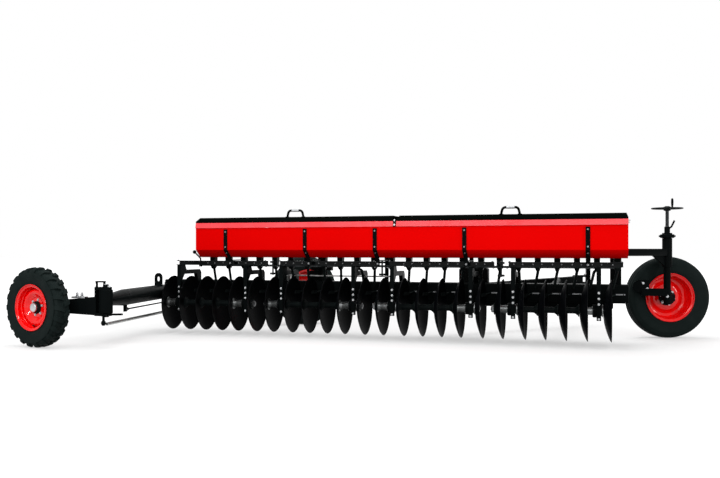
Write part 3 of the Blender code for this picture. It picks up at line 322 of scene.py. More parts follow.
def disc_finish(name):
    """A blackened rolled disc: rings from rolling round the gang's axis, and a thin oil sheen."""
    mat, tree, shader, coords = shader_nodes(name)
    offset = new_node(tree, "ShaderNodeVectorMath", {0: coords, 1: GANG_AXIS}, operation="SUBTRACT")
    split = new_node(tree, "ShaderNodeSeparateXYZ", {"Vector": offset.outputs["Vector"]})
    join = new_node(tree, "ShaderNodeCombineXYZ", {"X": split.outputs["Y"], "Y": split.outputs["Z"]})
    length = new_node(tree, "ShaderNodeVectorMath", {0: join.outputs["Vector"]}, operation="LENGTH")
    rings = new_node(tree, "ShaderNodeTexNoise", {"Scale": 220.0, "Detail": 3.0,
                                                  "W": length.outputs["Value"]},
                     noise_dimensions="1D")
    patch = ramp(tree, noise(tree, coords, 8.0, 6.0, 0.6), 0.4, 0.75, 0.0, 1.0)
    body = mix_colour(tree, patch, (0.0013, 0.0016, 0.0021), (0.0034, 0.0038, 0.0044))
    edge = ramp(tree, length.outputs["Value"], DISC_RADIUS - 0.006, DISC_RADIUS, 0.0, 0.55)
    tree.links.new(mix_colour(tree, edge, body, (0.014, 0.0145, 0.015)), shader.inputs["Base Color"])
    rough = ramp(tree, rings.outputs["Fac"], 0.3, 0.7, 0.34, 0.48)
    tree.links.new(rough, shader.inputs["Roughness"])
    shader.inputs["Specular IOR Level"].default_value = 0.010
    bump(tree, shader, rings.outputs["Fac"], 0.10, 0.0006)
    return mat


RED = enamel("red_enamel", (0.81, 0.0009, 0.0008), (0.77, 0.0009, 0.0008), (0.74, 0.005, 0.004), 0.28, 0.006,
             0.0)
# The flange band's red is the hopper's paint with more gloss and coat. Its pinkish colour is a painted
# reflection of the bright sky that the sloped band faces.
BAND_RED_PAINTED_REFLECTION = enamel("band_enamel_painted_reflection", (0.86, 0.030, 0.040), (0.84, 0.070, 0.085), (0.86, 0.10, 0.11), 0.18, 0.25,
                  0.35)
WHEEL_RED = enamel("wheel_red", (0.90, 0.0014, 0.0016), (0.86, 0.0014, 0.0016), (0.66, 0.006, 0.005), 0.22,
                   0.008, 0.7)
BLACK = enamel("black_enamel", (0.0026, 0.0036, 0.0038), (0.0040, 0.0052, 0.0052), (0.010, 0.012, 0.011),
               0.30, 0.010, 0.0)
LID_BLACK = enamel("lid_enamel", (0.0014, 0.0020, 0.0016), (0.0022, 0.0028, 0.0024), (0.004, 0.005, 0.004),
                   0.40, 0.0, 0.0)
CAST = enamel("cast_enamel", (0.0056, 0.0080, 0.0082), (0.0090, 0.0120, 0.0118), (0.025, 0.026, 0.025), 0.40,
              0.03, 0.0)
RAIL_BLACK = enamel("rail_enamel", (0.0050, 0.0068, 0.0072), (0.0080, 0.0100, 0.0102), (0.02, 0.02, 0.02),
                    0.10, 0.10, 0.0)
RUBBER = rubber("tyre_skin", (0.0058, 0.0100, 0.0095), (0.0140, 0.0200, 0.0185))
ZINC = steel("bright_zinc", (0.50, 0.51, 0.52), (0.36, 0.37, 0.38), 1.0, 0.34, (1.0, 1.0, 14.0))
BOLT_ZINC = steel("dull_zinc", (0.24, 0.245, 0.25), (0.15, 0.155, 0.16), 1.0, 0.42, (1.0, 1.0, 14.0))
JOURNAL_STEEL = steel("ground_journal", (0.22, 0.23, 0.23), (0.08, 0.085, 0.085), 0.9, 0.30, (14.0, 1.0, 1.0))
TUBE_STEEL = steel("drawn_tube", (0.50, 0.51, 0.50), (0.36, 0.37, 0.37), 1.0, 0.34, (12.0, 1.0, 1.0))
IRON = steel("dark_iron", (0.045, 0.050, 0.052), (0.028, 0.031, 0.033), 0.7, 0.40, (1.0, 1.0, 10.0))
SPOOL_STEEL = steel("spool_casting", (0.020, 0.022, 0.023), (0.009, 0.010, 0.010), 0.5, 0.38, (1.0, 8.0, 8.0))
GRIP = steel("grip_sleeve", (0.42, 0.43, 0.44), (0.34, 0.35, 0.36), 0.4, 0.40, (8.0, 1.0, 1.0))
DISC = disc_finish("disc_black")

SLOTS = {"red_paint": RED, "black_paint": BLACK, "tyre_rubber": RUBBER, "disc_steel": DISC,
         "bright_steel": ZINC}
NODE_SLOT = {entry["node"]: entry["material_slot"] for entry in frame["record"]["subparts"]}
NODE_BODY = {node: body for body, nodes in frame["record"]["behaviour"]["bodies"].items() for node in nodes}


# Mesh tools

def new_mesh():
    """An empty mesh to build in."""
    return bmesh.new()


def skin(bm, rows, closed=False):
    """Joins each ring of vertices to the next with faces; a ring of one vertex makes a tip."""
    pairs = list(zip(rows, rows[1:]))
    if closed:
        pairs.append((rows[-1], rows[0]))
    for a, b in pairs:
        count = max(len(a), len(b))
        for k in range(count):
            j = (k + 1) % count
            corners = [a[k % len(a)], a[j % len(a)], b[j % len(b)], b[k % len(b)]]
            face = list(dict.fromkeys(corners))
            if len(face) > 2:
                bm.faces.new(face)


def solid(bm, rows):
    """Rings of vertices joined by faces, with both ends filled."""
    skin(bm, rows)
    bm.faces.new(list(reversed(rows[0])))
    bm.faces.new(rows[-1])


def lathe(bm, profile, segments, matrix=None, closed=False):
    """Turns (x, radius) points about the X axis; a closed profile makes a ring."""
    rows = []
    for x, r in profile:
        if r < ON_AXIS:
            rows.append([bm.verts.new((x, 0, 0))])
            continue
        rows.append([bm.verts.new((x, *polar(r, a)[::-1])) for a in angles(segments)])
    skin(bm, rows, closed)
    if matrix is not None:
        bmesh.ops.transform(bm, matrix=matrix, verts=[v for row in rows for v in row])


def box(bm, x0, x1, y0, y1, z0, z1, matrix=None):
    """A block between two corners."""
    verts = [bm.verts.new((x, y, z)) for z in (z0, z1) for x, y in ((x0, y0), (x1, y0), (x1, y1), (x0, y1))]
    for ids in ((3, 2, 1, 0), (4, 5, 6, 7), (0, 1, 5, 4), (1, 2, 6, 5), (2, 3, 7, 6), (3, 0, 4, 7)):
        bm.faces.new([verts[i] for i in ids])
    if matrix is not None:
        bmesh.ops.transform(bm, matrix=matrix, verts=verts)


def along(start, direction):
    """The matrix that puts the X axis along a direction from a start."""
    d = Vector(direction).normalized()
    return Matrix.Translation(start) @ d.to_track_quat("X", "Z").to_matrix().to_4x4()


def on_axis(*points):
    """A profile closed at both ends down to the axis."""
    return [(points[0][0], 0), *points, (points[-1][0], 0)]


def rod(bm, start, end, radius, segments=16, end_radius=None):
    """A round bar between two points with slightly rounded ends."""
    start, end = Vector(start), Vector(end)
    length = (end - start).length
    r0, r1 = radius, end_radius or radius
    soft = min(0.15 * min(r0, r1), length * 0.2)
    profile = on_axis((0, r0 - soft), (soft, r0), (length - soft, r1), (length, r1 - soft))
    lathe(bm, profile, segments, along(start, end - start))


def smooth_path(points, steps=5):
    """Points of a curve that passes through the given ones."""
    result = []
    last = len(points) - 1
    for i in range(last):
        a, b = Vector(points[max(i - 1, 0)]), Vector(points[i])
        c, d = Vector(points[i + 1]), Vector(points[min(i + 2, last)])
        for k in range(steps):
            t = k / steps
            spot = (b * 2 + (c - a) * t + (a * 2 - b * 5 + c * 4 - d) * t ** 2
                    + (b * 3 - a - c * 3 + d) * t ** 3) * 0.5
            result.append(tuple(spot))
    result.append(tuple(points[-1]))
    return result


def sweep(bm, path, radii, segments):
    """A round bar through the points of a path, with a radius at each."""
    side = None
    rows = []
    for i, point in enumerate(path):
        ahead = path[min(i + 1, len(path) - 1)] - path[max(i - 1, 0)]
        ahead.normalize()
        if side is None:
            side = ahead.orthogonal().normalized()
        side = (side - ahead * side.dot(ahead)).normalized()
        up = ahead.cross(side)
        rows.append([bm.verts.new(point + (side * math.cos(2 * math.pi * k / segments)
                                           + up * math.sin(2 * math.pi * k / segments)) * radii[i])
                     for k in range(segments)])
    solid(bm, rows)


def bent_tube(bm, points, radius, segments=16, steps=5, end_radius=None, reach=0.45):
    """A round tube through points, with its bends rounded by short arcs."""
    path = [Vector(points[0])]
    for a, b, c in zip(points, points[1:], points[2:]):
        a, b, c = Vector(a), Vector(b), Vector(c)
        length = min((a - b).length, (c - b).length) * reach
        p, q = b + (a - b).normalized() * length, b + (c - b).normalized() * length
        for k in range(steps + 1):
            t = k / steps
            path.append(p * (1 - t) ** 2 + b * 2 * t * (1 - t) + q * t ** 2)
    path.append(Vector(points[-1]))
    radii = [radius] * (len(path) - 1) + [end_radius or radius]
    sweep(bm, path, radii, segments)


def turned(at, segments, profile, bm, way=(0, 0, 1)):
    """A profile of (height, radius) points turned about an axis that starts at a place."""
    lathe(bm, profile, segments, along(at, way))


def hex_bolt(bm, at, normal, size, washer=True):
    """A hexagon head standing on a surface, with a washer under it and a chamfer on its top."""
    matrix = along(at, normal)
    r = size * 0.577
    height = size * 0.40
    if washer:
        lathe(bm, on_axis((0, size * 0.72), (size * 0.09, size * 0.72)), 20, matrix)
    base = size * 0.08 if washer else 0.0
    lathe(bm, on_axis((base, r), (base + height * 0.82, r), (base + height, r * 0.84)), 6, matrix)
    lathe(bm, on_axis((base + height * 0.9, r * 0.45), (base + height * 1.25, r * 0.42)), 10, matrix)


def piece(name, bm, mat, body="frame", smooth=35.0, bevel=0.0, replaced=(), shift=True):
    """A finished piece that rides on a body, and stands for CAD nodes where it replaces them."""
    if shift:
        bmesh.ops.translate(bm, vec=OFFSET, verts=bm.verts)
    bmesh.ops.recalc_face_normals(bm, faces=bm.faces)
    mesh = bpy.data.meshes.new(name)
    bm.to_mesh(mesh)
    bm.free()
    mesh.materials.append(mat)
    mesh.shade_smooth()
    mesh.set_sharp_from_angle(angle=math.radians(smooth))
    obj = add_object(name, mesh)
    if bevel:
        soften(obj, bevel)
    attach(obj, body)
    if replaced:
        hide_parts(*replaced)
    return obj


def soften(obj, width, segments=2):
    """Rounds the sharp edges of a piece."""
    step = obj.modifiers.new("soft_edges", "BEVEL")
    step.width = width
    step.segments = segments
    step.limit_method = "ANGLE"
    step.angle_limit = math.radians(38)
    step.harden_normals = True


def cut_away(bm, corners, y0, y1):
    """A mesh without what lies in a prism, which is given by its corners' x and z and its two ends."""
    knife = new_mesh()
    ends = [[knife.verts.new(place(x, y, z)) for x, z in corners] for y in (y0, y1)]
    skin(knife, ends)
    knife.faces.new(ends[0])
    knife.faces.new(ends[1])
    bmesh.ops.recalc_face_normals(knife, faces=knife.faces)
    objects = []
    for label, shape in (("whole", bm), ("knife", knife)):
        mesh = bpy.data.meshes.new(label)
        shape.to_mesh(mesh)
        shape.free()
        objects.append(add_object(label, mesh))
    step = objects[0].modifiers.new("cut", "BOOLEAN")
    step.operation = "DIFFERENCE"
    step.solver = "EXACT"
    step.object = objects[1]
    bpy.context.view_layer.update()
    left = new_mesh()
    left.from_object(objects[0], bpy.context.evaluated_depsgraph_get())
    for obj in objects:
        mesh = obj.data
        bpy.data.objects.remove(obj)
        bpy.data.meshes.remove(mesh)
    return left


def soft_node(node, mat, width=0.0015, smooth=35.0, cut=None):
    """A CAD node's own shape with its flat faces joined into one and its edges rounded."""
    bm = new_mesh()
    bm.from_mesh(NODES[node].data)
    if cut:
        bm = cut_away(bm, *cut)
    bmesh.ops.remove_doubles(bm, verts=bm.verts, dist=0.00002)
    bmesh.ops.dissolve_limit(bm, angle_limit=math.radians(0.4), verts=bm.verts, edges=bm.edges)
    return piece(node + "_soft", bm, mat, NODE_BODY[node], smooth, width,
                 replaced=(node,), shift=False)


# The discs

def disc_centres():
    """The rim positions of each gang's discs."""
    pitches = (BEARING_PITCH, DISC_PITCH, DISC_PITCH, DISC_PITCH, BEARING_PITCH)
    gangs, x = [], 0.0
    for _ in range(GANG_COUNT):
        xs = [x]
        for pitch in pitches:
            xs.append(xs[-1] + pitch)
        gangs.append(xs)
        x = xs[-1] + GANG_GAP
    return gangs


def hanger_centres():
    """The middles of the hangers."""
    return [xs[i] + HANGER_OFFSET for xs in disc_centres() for i in (0, 4)]


def disc_face(radius, behind):
    """How far a disc's face lies behind its rim plane."""
    return -DISC_DISH * (1 - (radius / DISC_RADIUS) ** 2) - (DISC_THICK if behind else 0.0)


def make_gangs():
    """The four gangs: fine discs on flared spools, brighter journals in the bearings, and end nuts."""
    for number, xs in enumerate(disc_centres(), start=1):
        discs, iron, nuts, journals = new_mesh(), new_mesh(), new_mesh(), new_mesh()
        radii = [0.020 + (DISC_RADIUS - DISC_BEVEL - 0.020) * k / 11 for k in range(12)]
        for x in xs:
            front = [(disc_face(r, False), r) for r in radii]
            back = [(disc_face(r, True), r) for r in radii]
            edge = [(disc_face(DISC_RADIUS - DISC_BEVEL * 0.5, False), DISC_RADIUS - DISC_BEVEL * 0.5),
                    (0.0, DISC_RADIUS), (-0.0008, DISC_RADIUS)]
            profile = front + edge + list(reversed(back))
            lathe(discs, profile, DISC_SEGMENTS, Matrix.Translation((x, 0, AXLE_Z)), closed=True)
        hubs = [x - DISC_DISH for x in xs]
        for i, (a, b) in enumerate(zip(hubs, hubs[1:])):
            journal = i in (0, len(xs) - 2)
            r = JOURNAL_RADIUS if journal else SPOOL_RADIUS
            start, end = a + 0.0002, b - DISC_THICK - 0.0002
            length = end - start
            profile = on_axis((0, FLARE_RADIUS), (0.006, FLARE_RADIUS), (0.012, FLARE_RADIUS * 0.80),
                              (FLARE_LENGTH, r + 0.002), (FLARE_LENGTH + 0.008, r),
                              (length - FLARE_LENGTH - 0.008, r), (length - FLARE_LENGTH, r + 0.002),
                              (length - 0.012, FLARE_RADIUS * 0.80), (length - 0.006, FLARE_RADIUS),
                              (length, FLARE_RADIUS))
            lathe(journals if journal else iron, profile, 40, Matrix.Translation((start, 0, AXLE_Z)))
        for x, way in ((hubs[0] - DISC_THICK, -1), (hubs[-1], 1)):
            at = Vector((x + way * 0.0002, 0, AXLE_Z))
            lathe(iron, [(0, 0), (0, FLARE_RADIUS), (0.010, FLARE_RADIUS * 0.92), (0.012, 0)], 40,
                  along(at, (way, 0, 0)))
            hex_bolt(nuts, at + Vector((way * 0.0115, 0, 0)), (way, 0, 0), GANG_NUT * 1.8, washer=False)
        body = f"gang_{number}"
        for name, bm, mat, smooth in (("discs", discs, DISC, 30.0), ("spools", iron, CAST, 35.0),
                                      ("journals", journals, JOURNAL_STEEL, 35.0),
                                      ("nuts", nuts, BOLT_ZINC, 35.0)):
            piece(f"gang_{number}_{name}", bm, mat, body, smooth, replaced=(body,))


def make_hangers():
    """The hangers with their bearings' caps, bolts and grease nipples."""
    for number, x in enumerate(hanger_centres(), start=1):
        node = f"hanger_{number}"
        soft_node(node, BLACK, 0.0018)
        bolts, caps = new_mesh(), new_mesh()
        for z in HANGER_BOLT_ZS:
            hex_bolt(bolts, (x, HANGER_FACE, z), (0, -1, 0), 0.0135)
        hex_bolt(bolts, (x, 0.335, 0.5843), (0, -1, 0.0), 0.014, washer=False)
        rod(bolts, (x + 0.004, -BEARING_RADIUS * 0.72, AXLE_Z - BEARING_RADIUS * 0.68),
            (x + 0.004, -BEARING_RADIUS * 0.92, AXLE_Z - BEARING_RADIUS * 0.86), 0.0035, 12)
        for side in (-1, 1):
            middle = x - 0.020
            ring = [(0, 0.0385), (0, 0.0525), (0.003, 0.0525), (0.0045, 0.051), (0.0045, 0.0385)]
            start = middle + side * 0.0252
            lathe(caps, ring, 40, along((start, 0, AXLE_Z), (side, 0, 0)), closed=True)
            for k in range(4):
                a = math.radians(45 + 90 * k)
                at = (start + side * 0.0045, 0.0455 * math.cos(a), AXLE_Z + 0.0455 * math.sin(a))
                hex_bolt(bolts, at, (side, 0, 0), 0.0075, washer=False)
        piece(f"{node}_bolts", bolts, ZINC)
        piece(f"{node}_caps", caps, SPOOL_STEEL)


def make_rails():
    """The rails over the gangs, the bolts on their webs and flanges, and the adjusters between them."""
    web_y = RAIL_HALF - RAIL_WALL
    bolts = new_mesh()
    clamps = new_mesh()
    cups = cup_centres()
    for number, xs in enumerate(disc_centres(), start=1):
        soft_node(f"rail_{number}", RAIL_BLACK, 0.0015)
        start = xs[0] + RAIL_START
        end = start + RAIL_LENGTH
        for x in cups:
            if start + 0.03 < x < end - 0.03:
                for dx in (-0.036, 0.036):
                    if start + 0.02 < x + dx < end - 0.02:
                        hex_bolt(bolts, (x + dx, web_y, RAIL_Z + 0.021), (0, -1, 0), 0.0085)
                box(clamps, x - 0.022, x + 0.022, -RAIL_HALF + 0.004, RAIL_HALF - 0.004,
                    RAIL_Z - 0.0075, RAIL_Z - 0.0004)
        for x in (start + 0.012, end - 0.012):
            hex_bolt(bolts, (x, -0.012, RAIL_TOP), (0, 0, 1), 0.014)
    piece("rail_bolts", bolts, BOLT_ZINC)
    piece("rail_clamps", clamps, CAST, bevel=0.0015)
    for number in range(1, GANG_COUNT):
        soft_node(f"rail_link_{number}", RAIL_BLACK, 0.0015)
    gaps = zip(disc_centres(), disc_centres()[1:])
    nuts = new_mesh()
    for left, right in gaps:
        middle = (left[0] + RAIL_START + RAIL_LENGTH + right[0] + RAIL_START) / 2
        for x in (middle - 0.062, middle + 0.052):
            hex_bolt(nuts, (x, -0.014, RAIL_Z - 0.0084), (0, 0, -1), 0.014)
        hex_bolt(nuts, (middle, 0, 0.6976), (0, 0, 1), 0.012, washer=False)
    piece("adjuster_nuts", nuts, BOLT_ZINC)


# The seed hopper

def cup_centres():
    """The middles of the metering cups."""
    pitch = HOPPER_LENGTH / CUP_COUNT
    return [HOPPER_START + pitch * (i + 0.5) for i in range(CUP_COUNT)]


def beside_hangers(x):
    """A seed tube's place: moved aside where a hanger's arm is in its way."""
    room = 0.018 + TUBE_RADIUS + 0.007
    for hanger in hanger_centres():
        if abs(x - hanger) < room:
            return hanger + math.copysign(room, x - hanger)
    return x


def lift_trough(sheet):
    """Raises the hopper's bottom to the folds of its chamfers, as the photograph shows it."""
    for vertex in sheet.vertices:
        if vertex.co.z < (TROUGH_Z + CHAMFER_Z) / 2:
            vertex.co.z += TROUGH_LIFT


def make_hopper():
    """The hopper's sheets with rounded folds, the latch at its divider with its bolts, and the latch on its
    right end.
    """
    for node in ("hopper_front", "hopper_back"):
        sheet = soft_node(node, RED, 0.0012).data
        lift_trough(sheet)
        # The sloped flange band along the top gets the red with a painted reflection: a pinkish colour for
        # the sky it faces, besides its real extra gloss.
        sheet.materials.append(BAND_RED_PAINTED_REFLECTION)
        for face in sheet.polygons:
            if face.center.z > HOPPER_TOP - 0.03 and abs(face.normal.y) > 0.9 and face.normal.z > 0.2:
                face.material_index = 1
    for node in ("hopper_left_end", "hopper_right_end", "hopper_divider"):
        lift_trough(soft_node(node, RED, 0.0007).data)
    soft_node("centre_latch", CAST, 0.0015)
    bolts = new_mesh()
    tilt = Vector((0, -0.047, 0.012)).normalized()
    for x, z in ((LID_SPLIT, 1.052), (LID_SPLIT, 1.014)):
        y = HOPPER_FRONT - (HOPPER_TOP - z) * 0.255 - 0.0083 if z < HOPPER_TOP else HOPPER_FRONT - 0.0083
        hex_bolt(bolts, (x, y, z), tilt, 0.012)
    piece("latch_bolts", bolts, ZINC)
    latch = new_mesh()
    end = HOPPER_END
    box(latch, end + SEAT_GAP, end + 0.0045, HOPPER_FRONT + 0.012, HOPPER_FRONT + 0.040, 1.008, 1.0435)
    box(latch, end + 0.0047, end + 0.0140, HOPPER_FRONT + 0.018, HOPPER_FRONT + 0.034, 1.010, 1.022)
    rod(latch, (end + 0.0045, HOPPER_FRONT + 0.026, 1.034), (end + 0.016, HOPPER_FRONT + 0.026, 1.034), 0.005)
    piece("side_latch", latch, ZINC, bevel=0.0008)


def make_lids():
    """The two lids: folded sheet with rounded edges, hinges, and a bent handle with a sleeve."""
    spans = (("lid_left", HOPPER_START, LID_SPLIT - LID_GAP / 2),
             ("lid_right", LID_SPLIT + LID_GAP / 2, HOPPER_END))
    y0, y1 = HOPPER_FRONT, HOPPER_BACK
    z = HOPPER_TOP + SEAT_GAP
    hinge_y, hinge_z = y1 + HINGE_RADIUS * 0.8, z + HINGE_RADIUS
    for name, x0, x1 in spans:
        sheet = new_mesh()
        rings = []
        for shrink in (0.0, SHEET):
            s = shrink
            levels = [(x0 + s, x1 - s, y0 + s, y1 - s, z),
                      (x0 + s, x1 - s, y0 + s, y1 - s, z + LID_EAVE - s * 0.4),
                      (x0 + LID_SLOPE_X + s * 0.6, x1 - LID_SLOPE_X - s * 0.6,
                       y0 + LID_SLOPE_Y + s * 0.6, y1 - LID_SLOPE_Y - s * 0.6, z + LID_HEIGHT - s)]
            rings.append([[sheet.verts.new(p) for p in ((a, c, h), (b, c, h), (b, d, h), (a, d, h))]
                          for a, b, c, d, h in levels])
        outer, inner = rings
        for rows in rings:
            skin(sheet, rows)
            sheet.faces.new(rows[-1])
        skin(sheet, [outer[0], inner[0]])
        piece(f"{name}_sheet", sheet, LID_BLACK, name, bevel=0.0012, replaced=(name,))
        iron, sleeve, barrels = new_mesh(), new_mesh(), new_mesh()
        middle = (x0 + x1) / 2 + HANDLE_ASIDE
        y, foot = y0 + LID_SLOPE_Y + 0.02, z + LID_HEIGHT
        half, top = HANDLE_WIDTH / 2, foot + HANDLE_HEIGHT - 0.0015
        bent_tube(iron, [(middle - half, y, foot + 0.003), (middle - half * 0.84, y, top),
                         (middle + half * 0.84, y, top), (middle + half, y, foot + 0.003)], 0.0105, 24, 9,
                         reach=0.48)
        for side in (-1, 1):
            turned((middle + side * half, y, foot), 32, on_axis((0, 0.019), (0.0025, 0.019), (0.004, 0.017)),
                   iron)
        rod(sleeve, (middle - 0.034, y, top), (middle + 0.034, y, top), 0.0119, 32)
        piece(f"{name}_handle", iron, LID_BLACK, name, replaced=(name,))
        piece(f"{name}_grip", sleeve, GRIP, name, replaced=(name,))
        for x in (x0 + 0.2, middle, x1 - 0.2):
            for k in range(3):
                a = x - HINGE_LENGTH / 2 + k * HINGE_LENGTH / 3
                rod(barrels, (a + 0.0006, hinge_y, hinge_z), (a + HINGE_LENGTH / 3 - 0.0006, hinge_y,
                        hinge_z),
                    HINGE_RADIUS, 24)
            rod(barrels, (x - HINGE_LENGTH / 2 - 0.002, hinge_y, hinge_z),
                (x + HINGE_LENGTH / 2 + 0.002, hinge_y, hinge_z), HINGE_RADIUS * 0.45, 16)
        piece(f"{name}_hinges", barrels, CAST, name, replaced=(name,))


def make_stands():
    """The hopper's straps and legs with their bolts."""
    bolts = new_mesh()
    face_y = HOPPER_FRONT - STRAP_THICK - SEAT_GAP
    slope = Vector((0, -(FACE_Z - CHAMFER_Z), -CHAMFER_IN)).normalized()
    for number, x in enumerate(STAND_XS, start=1):
        soft_node(f"hopper_stand_{number}", BLACK, 0.0015)
        for z in STRAP_BOLT_ZS:
            hex_bolt(bolts, (x, face_y, z), (0, -1, 0), 0.0100)
        at = Vector((x, HOPPER_FRONT + CHAMFER_IN * SLOPE_BOLT_SHARE,
                     FACE_Z - (FACE_Z - CHAMFER_Z) * SLOPE_BOLT_SHARE))
        hex_bolt(bolts, at + slope * (STRAP_THICK + 0.0004), slope, 0.0115)
        hex_bolt(bolts, (x, -RAIL_HALF - STRAP_THICK - SEAT_GAP, RAIL_Z + 0.02), (0, -1, 0), 0.0125)
        back = HOPPER_BACK + STRAP_THICK + SEAT_GAP
        for z in STRAP_BOLT_ZS:
            hex_bolt(bolts, (x, back, z), (0, 1, 0), 0.0155)
    piece("stand_bolts", bolts, BOLT_ZINC)


def make_metering():
    """The metering cups with their covers, the square feed shafts, the seed tubes and the lever."""
    cups = cup_centres()
    shaft_z = CUP_LOW + 0.03
    top = TROUGH_Z + TROUGH_LIFT - SEAT_GAP
    for name, row in (("metering_left", cups[:12]), ("metering_right", cups[12:])):
        iron, tubes, shaft, covers = new_mesh(), new_mesh(), new_mesh(), new_mesh()
        box(shaft, row[0] - 0.012, row[-1] + 0.012, CUP_Y - 0.01, CUP_Y + 0.01, shaft_z - 0.01,
            shaft_z + 0.01)
        for x in row:
            levels = ((0.015, 0.0175, CUP_LOW), (0.0185, 0.024, CUP_LOW + 0.012),
                      (0.0245, 0.0345, CUP_LOW + 0.032),
                      (0.0245, 0.0345, top - 0.006), (0.025, 0.035, top - 0.005), (0.025, 0.035, top))
            rows = [[iron.verts.new((x + a * sx, CUP_Y + b * sy, h)) for sx,
                     sy in ((-1, -1), (1, -1), (1, 1), (-1, 1))]
                    for a, b, h in levels]
            solid(iron, rows)
            for side in (-1, 1):
                lathe(covers, on_axis((0, 0.021), (0.0022, 0.0205), (0.003, 0.012)), 28,
                      along((x + side * 0.0244, CUP_Y, shaft_z + 0.008), (side, 0, 0)))
            aside = beside_hangers(x)
            bent_tube(tubes, [(x, CUP_Y, CUP_LOW + 0.010), (aside, CUP_Y + 0.01, CUP_LOW - 0.006),
                              (beside_hangers(aside - TUBE_LEAN), *TUBE_END)], TUBE_RADIUS, 20, 4, reach=0.3)
            turned((x, CUP_Y, CUP_LOW - 0.004), 24, on_axis((0, 0.0145), (0.006, 0.0145), (0.007, 0.013)),
                   tubes)
        for label, bm, mat, bevel in (("cups", iron, CAST, 0.0018), ("shaft", shaft, IRON, 0.001),
                                      ("covers", covers, IRON, 0.0), ("tubes", tubes, CAST, 0.0)):
            piece(f"{name}_{label}", bm, mat, bevel=bevel, replaced=(name,))
    lever = new_mesh()
    x = LEVER_X
    rod(lever, (x - 0.012, CUP_Y, shaft_z), (cups[0], CUP_Y, shaft_z), 0.007, 24)
    bent_tube(lever, [(x, CUP_Y, shaft_z), (x, CUP_Y, RAIL_TOP + 0.02), (x, *LEVER_TIP)], 0.007, 20, 6,
              reach=0.3)
    for dx in (-0.011, 0.005):
        turned((x + dx, CUP_Y, shaft_z), 24, on_axis((0, 0.015), (0.006, 0.015)), lever, (1, 0, 0))
    ball = [(-LEVER_BALL * math.cos(math.pi * k / 14), LEVER_BALL * math.sin(math.pi * k / 14))
            for k in range(15)]
    ball[0], ball[-1] = (-LEVER_BALL, 0), (LEVER_BALL, 0)
    lathe(lever, ball, 32, Matrix.Translation((x, *LEVER_TIP)))
    piece("feed_lever", lever, BLACK, replaced=("metering_left",))


# The wheels

def wheel_matrix(wheel):
    """From a wheel's own frame, whose X axis points out of its hub cap, to the machine's."""
    return (Matrix.Translation((*wheel["hub"], wheel["radius"]))
            @ Matrix.Rotation(math.radians(wheel["roll"] - 90), 4, "Z"))


def tyre_side(wheel):
    """The tyre's section from its bead over the sidewall to the shoulder, with its moulded rings."""
    w, big, r = wheel["width"] / 2, wheel["radius"], wheel["rim"]
    middle = (big + r) / 2
    foot = BEAD_DEPTH - 0.0012
    bead = section(w, r, ((0.70, foot), (0.785, foot), (0.805, 0.006)))
    lower = smooth_path(section(w, r, ((0.815, -0.001), (0.86, -0.010), (0.915, -0.024))), 4)
    ring = section(w, r, ((0.935, -0.0262), (0.937, -0.0292), (0.927, -0.0312)))
    wall = smooth_path([(w * 0.945, r + 0.036)] + section(w, middle, (
        (0.975, 0.016), (0.995, -0.002), (0.998, -0.016), (0.985, -0.028))), 4)
    return bead + lower + ring + wall


def flipped(points):
    """A section's points on the other side of its middle."""
    return [(-x, r) for x, r in points]


def section(half, top, points):
    """Points given as a share of the half width and a depth below the top."""
    return [(half * share, top - depth) for share, depth in points]


def mirrored_section(side):
    """A closed tyre section from one half of it."""
    liner = [(side[0][0] * 0.9, side[0][1] + 0.002), (side[0][0] * 0.86, side[0][1] + 0.018)]
    return flipped(side) + side[::-1] + liner + flipped(liner)[::-1]


def ribbed_tyre(wheel):
    """A tyre with ribs round its tread and fine grooves on its shoulders."""
    bm = new_mesh()
    w, big = wheel["width"] / 2, wheel["radius"]
    shoulder = smooth_path(section(w, big, ((0.965, 0.050), (0.92, 0.034), (0.84, 0.019), (0.74, 0.0105))), 4)
    tread = section(w, big, ((0.71, 0.0088), (0.695, 0.0135), (0.665, 0.0135), (0.65, 0.0062), (0.50, 0.0035),
                             (0.385, 0.0022), (0.365, 0.010), (0.285, 0.010), (0.265, 0.001), (0.12, 0.0002),
                             (0.018, 0.0), (0.014, 0.003)))
    side = tyre_side(wheel) + shoulder + tread
    lathe(bm, mirrored_section(side), TYRE_SEGMENTS, closed=True)
    return bm


def lugged_tyre(wheel):
    """A tyre whose shoulders carry slanted lugs, those of one side between those of the other."""
    bm = new_mesh()
    w, big = wheel["width"] / 2, wheel["radius"]
    shoulder = smooth_path(section(w, big, ((0.955, 0.058), (0.905, 0.046), (0.82, 0.033),
                                            (0.70, LUG_DEPTH + 0.006))), 4)
    tread = section(w, big, ((0.36, LUG_DEPTH + 0.002), (0.10, LUG_DEPTH), (0.014, LUG_DEPTH)))
    side = tyre_side(wheel) + shoulder + tread
    lathe(bm, mirrored_section(side), TYRE_SEGMENTS, closed=True)
    pitch = 2 * math.pi / LUG_COUNT
    for k in range(2 * LUG_COUNT):
        way = 1 if k % 2 else -1
        middle = pitch * k / 2
        rows = []
        for (share, drop, half, skew), low in zip(LUG_STATIONS, LUG_FLOORS):
            r = big - drop
            row = []
            for radius, wide in ((r, half), (big - low, half + 0.004)):
                inward = 0.0 if radius == r else 0.012 * share
                for edge in (-1, 1):
                    a = middle + skew * pitch * 2 + edge * wide / big
                    row.append(bm.verts.new((way * (w * share - inward), radius * math.sin(a),
                                             radius * math.cos(a))))
            rows.append((row[0], row[1], row[3], row[2]))
        skin(bm, rows)
        bm.faces.new(rows[0])
        bm.faces.new(list(reversed(rows[-1])))
    return bm


